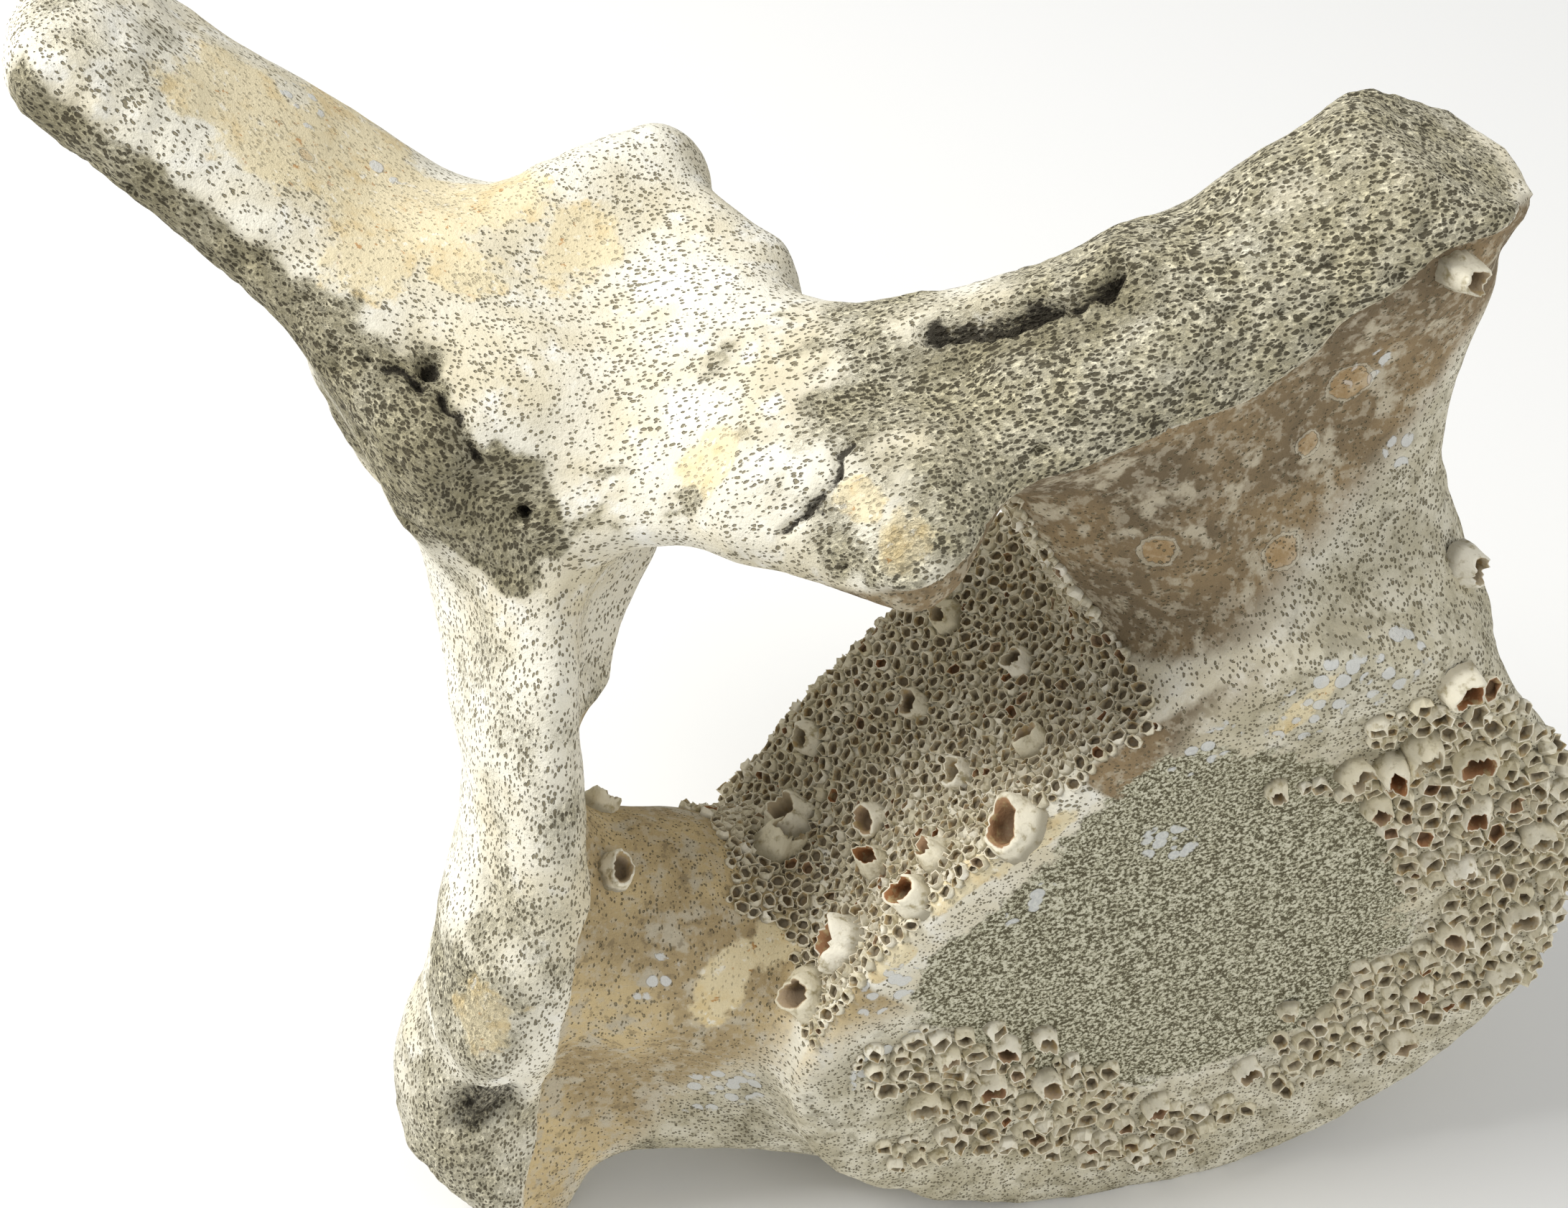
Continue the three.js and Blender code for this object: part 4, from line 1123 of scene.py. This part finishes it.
# %% Faces and numbers of the cones
def barnacle_piece(name, vertices, radii, heights, rust, profile, segments, ribs, jagged, pale):
    """All cones as one object. A square face spans two steps of a ring, and the bottom of each cup
    is closed by a fan of such faces. The few large shells are smooth, the small ones keep flat
    plates."""
    shape = barnacle_rings(vertices, radii, heights, profile, segments, ribs, jagged)
    count, rings = shape.shape[:2]
    index = np.arange(count * rings * segments).reshape(count, rings, segments)
    beside = np.roll(index, -1, 2)
    walls = np.stack([index[:, :-1], beside[:, :-1], beside[:, 1:], index[:, 1:]], -1).reshape(-1, 4)
    last = index[:, -1]
    middle = np.repeat((index.size + np.arange(count))[:, None], segments // 2, 1)
    fans = np.stack([middle, last[:, ::2], last[:, 1::2], np.roll(last, -2, 1)[:, ::2]], -1)
    faces = np.concatenate([walls, fans.reshape(-1, 4)])
    points = np.concatenate([shape.reshape(-1, 3), shape[:, -1].mean(1)])
    rows = np.array(profile, float)

    def per_ring(values, at_middle):
        """One number for each ring of the profile, the same in every shell."""
        spread = np.broadcast_to(values[None, :, None], (count, rings, segments)).ravel()
        return np.concatenate([spread, np.full(count, at_middle)])

    def per_shell(values):
        """One number for each shell, the same all over it."""
        return np.concatenate([np.repeat(values, rings * segments), values])

    numbers = {"inside": per_ring(rows[:, 2], 1.0), "level": per_ring(np.clip(rows[:, 1], 0, 1), 0.1),
               "lot": per_shell(rng.random(count)), "rusty": per_shell(np.array(rust)),
               "paleness": per_shell(np.full(count, pale))}
    piece = make_piece(name, to_floor(points), faces, numbers, smooth=segments > 8)
    lay_flat(piece, faces, count, rings, segments)
    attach(piece, "root")
    return piece


print("numbers of each shell: inside, level, lot, rusty and paleness")


# %% Make the three pieces
def crowd(name, shells, squat, profile, pale):
    """A piece from scattered shells, about squat times as high as their radius."""
    vertices, radii = np.array(shells).T
    heights = radii * squat * (0.8 + 0.5 * rng.random(len(shells)))
    rust = (rng.random(len(shells)) < 0.08) * (0.4 + 0.6 * rng.random(len(shells)))
    return barnacle_piece(name, vertices.astype(int), radii, heights, rust, profile, segments=8,
                          ribs=0.0, jagged=0.16, pale=pale)


canal_piece = crowd("canal_barnacles", canal_shells, 0.95, CANAL_PROFILE, 0.0)
rim_piece = crowd("rim_barnacles", rim_shells, 0.85, SHELL_PROFILE, 1.0)
large_vertices, large_radii, large_heights, large_rust = np.array(large).T
large_piece = barnacle_piece("large_barnacles", large_vertices.astype(int), large_radii, large_heights,
                             large_rust, LARGE_PROFILE, segments=30, ribs=0.09, jagged=0.10,
                             pale=0.7)
barnacle_pieces = [canal_piece, rim_piece, large_piece]
print("barnacle faces:", [len(piece.data.polygons) for piece in barnacle_pieces])

# %% [markdown]
# ## Dry barnacle shell
# The shells are matt lime, off-white where the sea has scrubbed them, and darker towards the foot.
# Deep in the cup they darken, partly with stain and partly with painted shade. Some cups are
# stained by rust. Each shell could have a material of its own, but one material can read the
# numbers of each shell from the mesh, so no two shells look quite the same.

# %% Barnacle shell material
shell_material = new_material("dry_barnacle_shell")
tree = shell_material.node_tree
in_mm = place_in_mm()
patterns = {}
# Blotches are about as wide as a shell. Growth lines are some tenths of a millimetre apart, too
# fine to show, so the grit that stands for them is drawn at 0.9 mm.
add_patterns(["lot", "inside", "level", "rusty", "paleness"],
             {"blotch": (in_mm, 2.4, 3.0, 0.55), "grit": (in_mm, 0.9, 3.0, 0.55)})
colony = paint("DFD6BA", ("lot", 0, 1, 1, "F4EEDC"))
# The outer wall darkens towards the foot.
outer = paint("DDD4B9", ("lot", 0, 1, 1, "F5EFDE"), ("paleness", 0, 1, 1, colony),
              ("blotch", 0.50, 0.75, 1, "A99C78"), ("level", 0.5, 0.0, 0.65, "6E6348"))
# Deep in the cup the colour darkens to 4A3B26: partly stain, partly painted shade.
cup = paint("C0B498", ("rusty", 0, 1, 1, "96663C"), ("blotch", 0.5, 0.65, 1, "B39B70"),
            ("level", 0.9, 0.2, 0.75, "4A3B26"))
shell_colour = paint(outer, ("inside", 0.3, 0.8, 1, cup))
finish_material(shell_material, barnacle_pieces, shell_colour, patterns["grit"], depth_mm=0.3,
                strength=0.8, roughness=0.7, specular=0.35)

# %% [markdown]
# ## Floor, light and camera
# The bone lies on a plain pale floor. A large soft lamp above and to the left lights the crests and
# leaves the hollows in shade, a weak one from the right keeps the shade open, and a pale sky fills
# the rest. The camera looks down at 45 degrees with a slightly long lens.

# %% Floor
floor_mesh = bpy.data.meshes.new("floor")
HALF_SIDE = 6.0
corners = [(u * HALF_SIDE, v * HALF_SIDE, 0) for u, v in ((-1, -1), (1, -1), (1, 1), (-1, 1))]
floor_mesh.from_pydata(corners, [], [(0, 1, 2, 3)])
floor = bpy.data.objects.new("floor", floor_mesh)
bpy.context.scene.collection.objects.link(floor)
# Uncoated paper: rough, so that it takes soft shadows and throws no reflections.
floor_material = bpy.data.materials.new("pale_paper_floor")
floor_material.use_nodes = True
floor_shader = floor_material.node_tree.nodes["Principled BSDF"]
floor_shader.inputs["Base Color"].default_value = linear("F2F1EE")
floor_shader.inputs["Roughness"].default_value = 0.9
floor_mesh.materials.append(floor_material)
print("floor of", 2 * HALF_SIDE, "m")


# %% Lamps and sky
def soft_lamp(name, place, watts, size):
    """A square area lamp that faces the middle of the bone."""
    data = bpy.data.lights.new(name, "AREA")
    data.energy = watts
    data.size = size
    lamp = bpy.data.objects.new(name, data)
    bpy.context.scene.collection.objects.link(lamp)
    lamp.location = place
    aim(lamp, (0, 0, 0.12))
    return lamp


def aim(thing, target):
    """Turns a lamp or camera so that its -Z axis points at the target and its Y axis is upright."""
    back = np.array(thing.location, float) - np.array(target, float)
    back = back / np.linalg.norm(back)
    right = np.cross((0, 0, 1), back)
    right = right / np.linalg.norm(right)
    turn = np.stack([right, np.cross(back, right), back]).T
    matrix = thing.matrix_world.copy()
    for row in range(3):
        for column in range(3):
            matrix[row][column] = turn[row, column]
        matrix[row][3] = thing.location[row]
    thing.matrix_world = matrix


key = soft_lamp("key_lamp", (-1.1, 0.25, 1.5), watts=33, size=0.8)
fill = soft_lamp("fill_lamp", (1.2, -1.2, 1.0), watts=10, size=1.2)
world = bpy.data.worlds.new("pale_sky")
world.use_nodes = True
world.node_tree.nodes["Background"].inputs["Color"].default_value = linear("F4F6F8")
world.node_tree.nodes["Background"].inputs["Strength"].default_value = 0.45
bpy.context.scene.world = world
bpy.context.scene.view_settings.view_transform = "Standard"
print("lamps:", key.name, fill.name)

# %% Camera
AZIMUTH = np.radians(13.5)
ELEVATION = np.radians(45)
DISTANCE = 672 * MM
IMAGE_WIDTH, FOCAL_LENGTH = 2184, 4060  # both in pixels
LOOK_AT = np.array([-93.7, 0, 113.7])  # from the body's middle, in mm
camera_data = bpy.data.cameras.new("camera")
camera_data.sensor_width = 36
camera_data.lens = FOCAL_LENGTH / IMAGE_WIDTH * camera_data.sensor_width
camera = bpy.data.objects.new("camera", camera_data)
bpy.context.scene.collection.objects.link(camera)
target = (SHIFT + LOOK_AT) * MM
back = np.array([-np.sin(AZIMUTH) * np.cos(ELEVATION), -np.cos(AZIMUTH) * np.cos(ELEVATION),
                 np.sin(ELEVATION)])
camera.location = target + DISTANCE * back
aim(camera, target)
bpy.context.scene.camera = camera
print("camera at", np.round(np.array(camera.location), 3), "with a lens of", round(camera_data.lens, 1))

# %% Finish
print("pieces that dress the model:", len(bone_pieces) + len(barnacle_pieces))
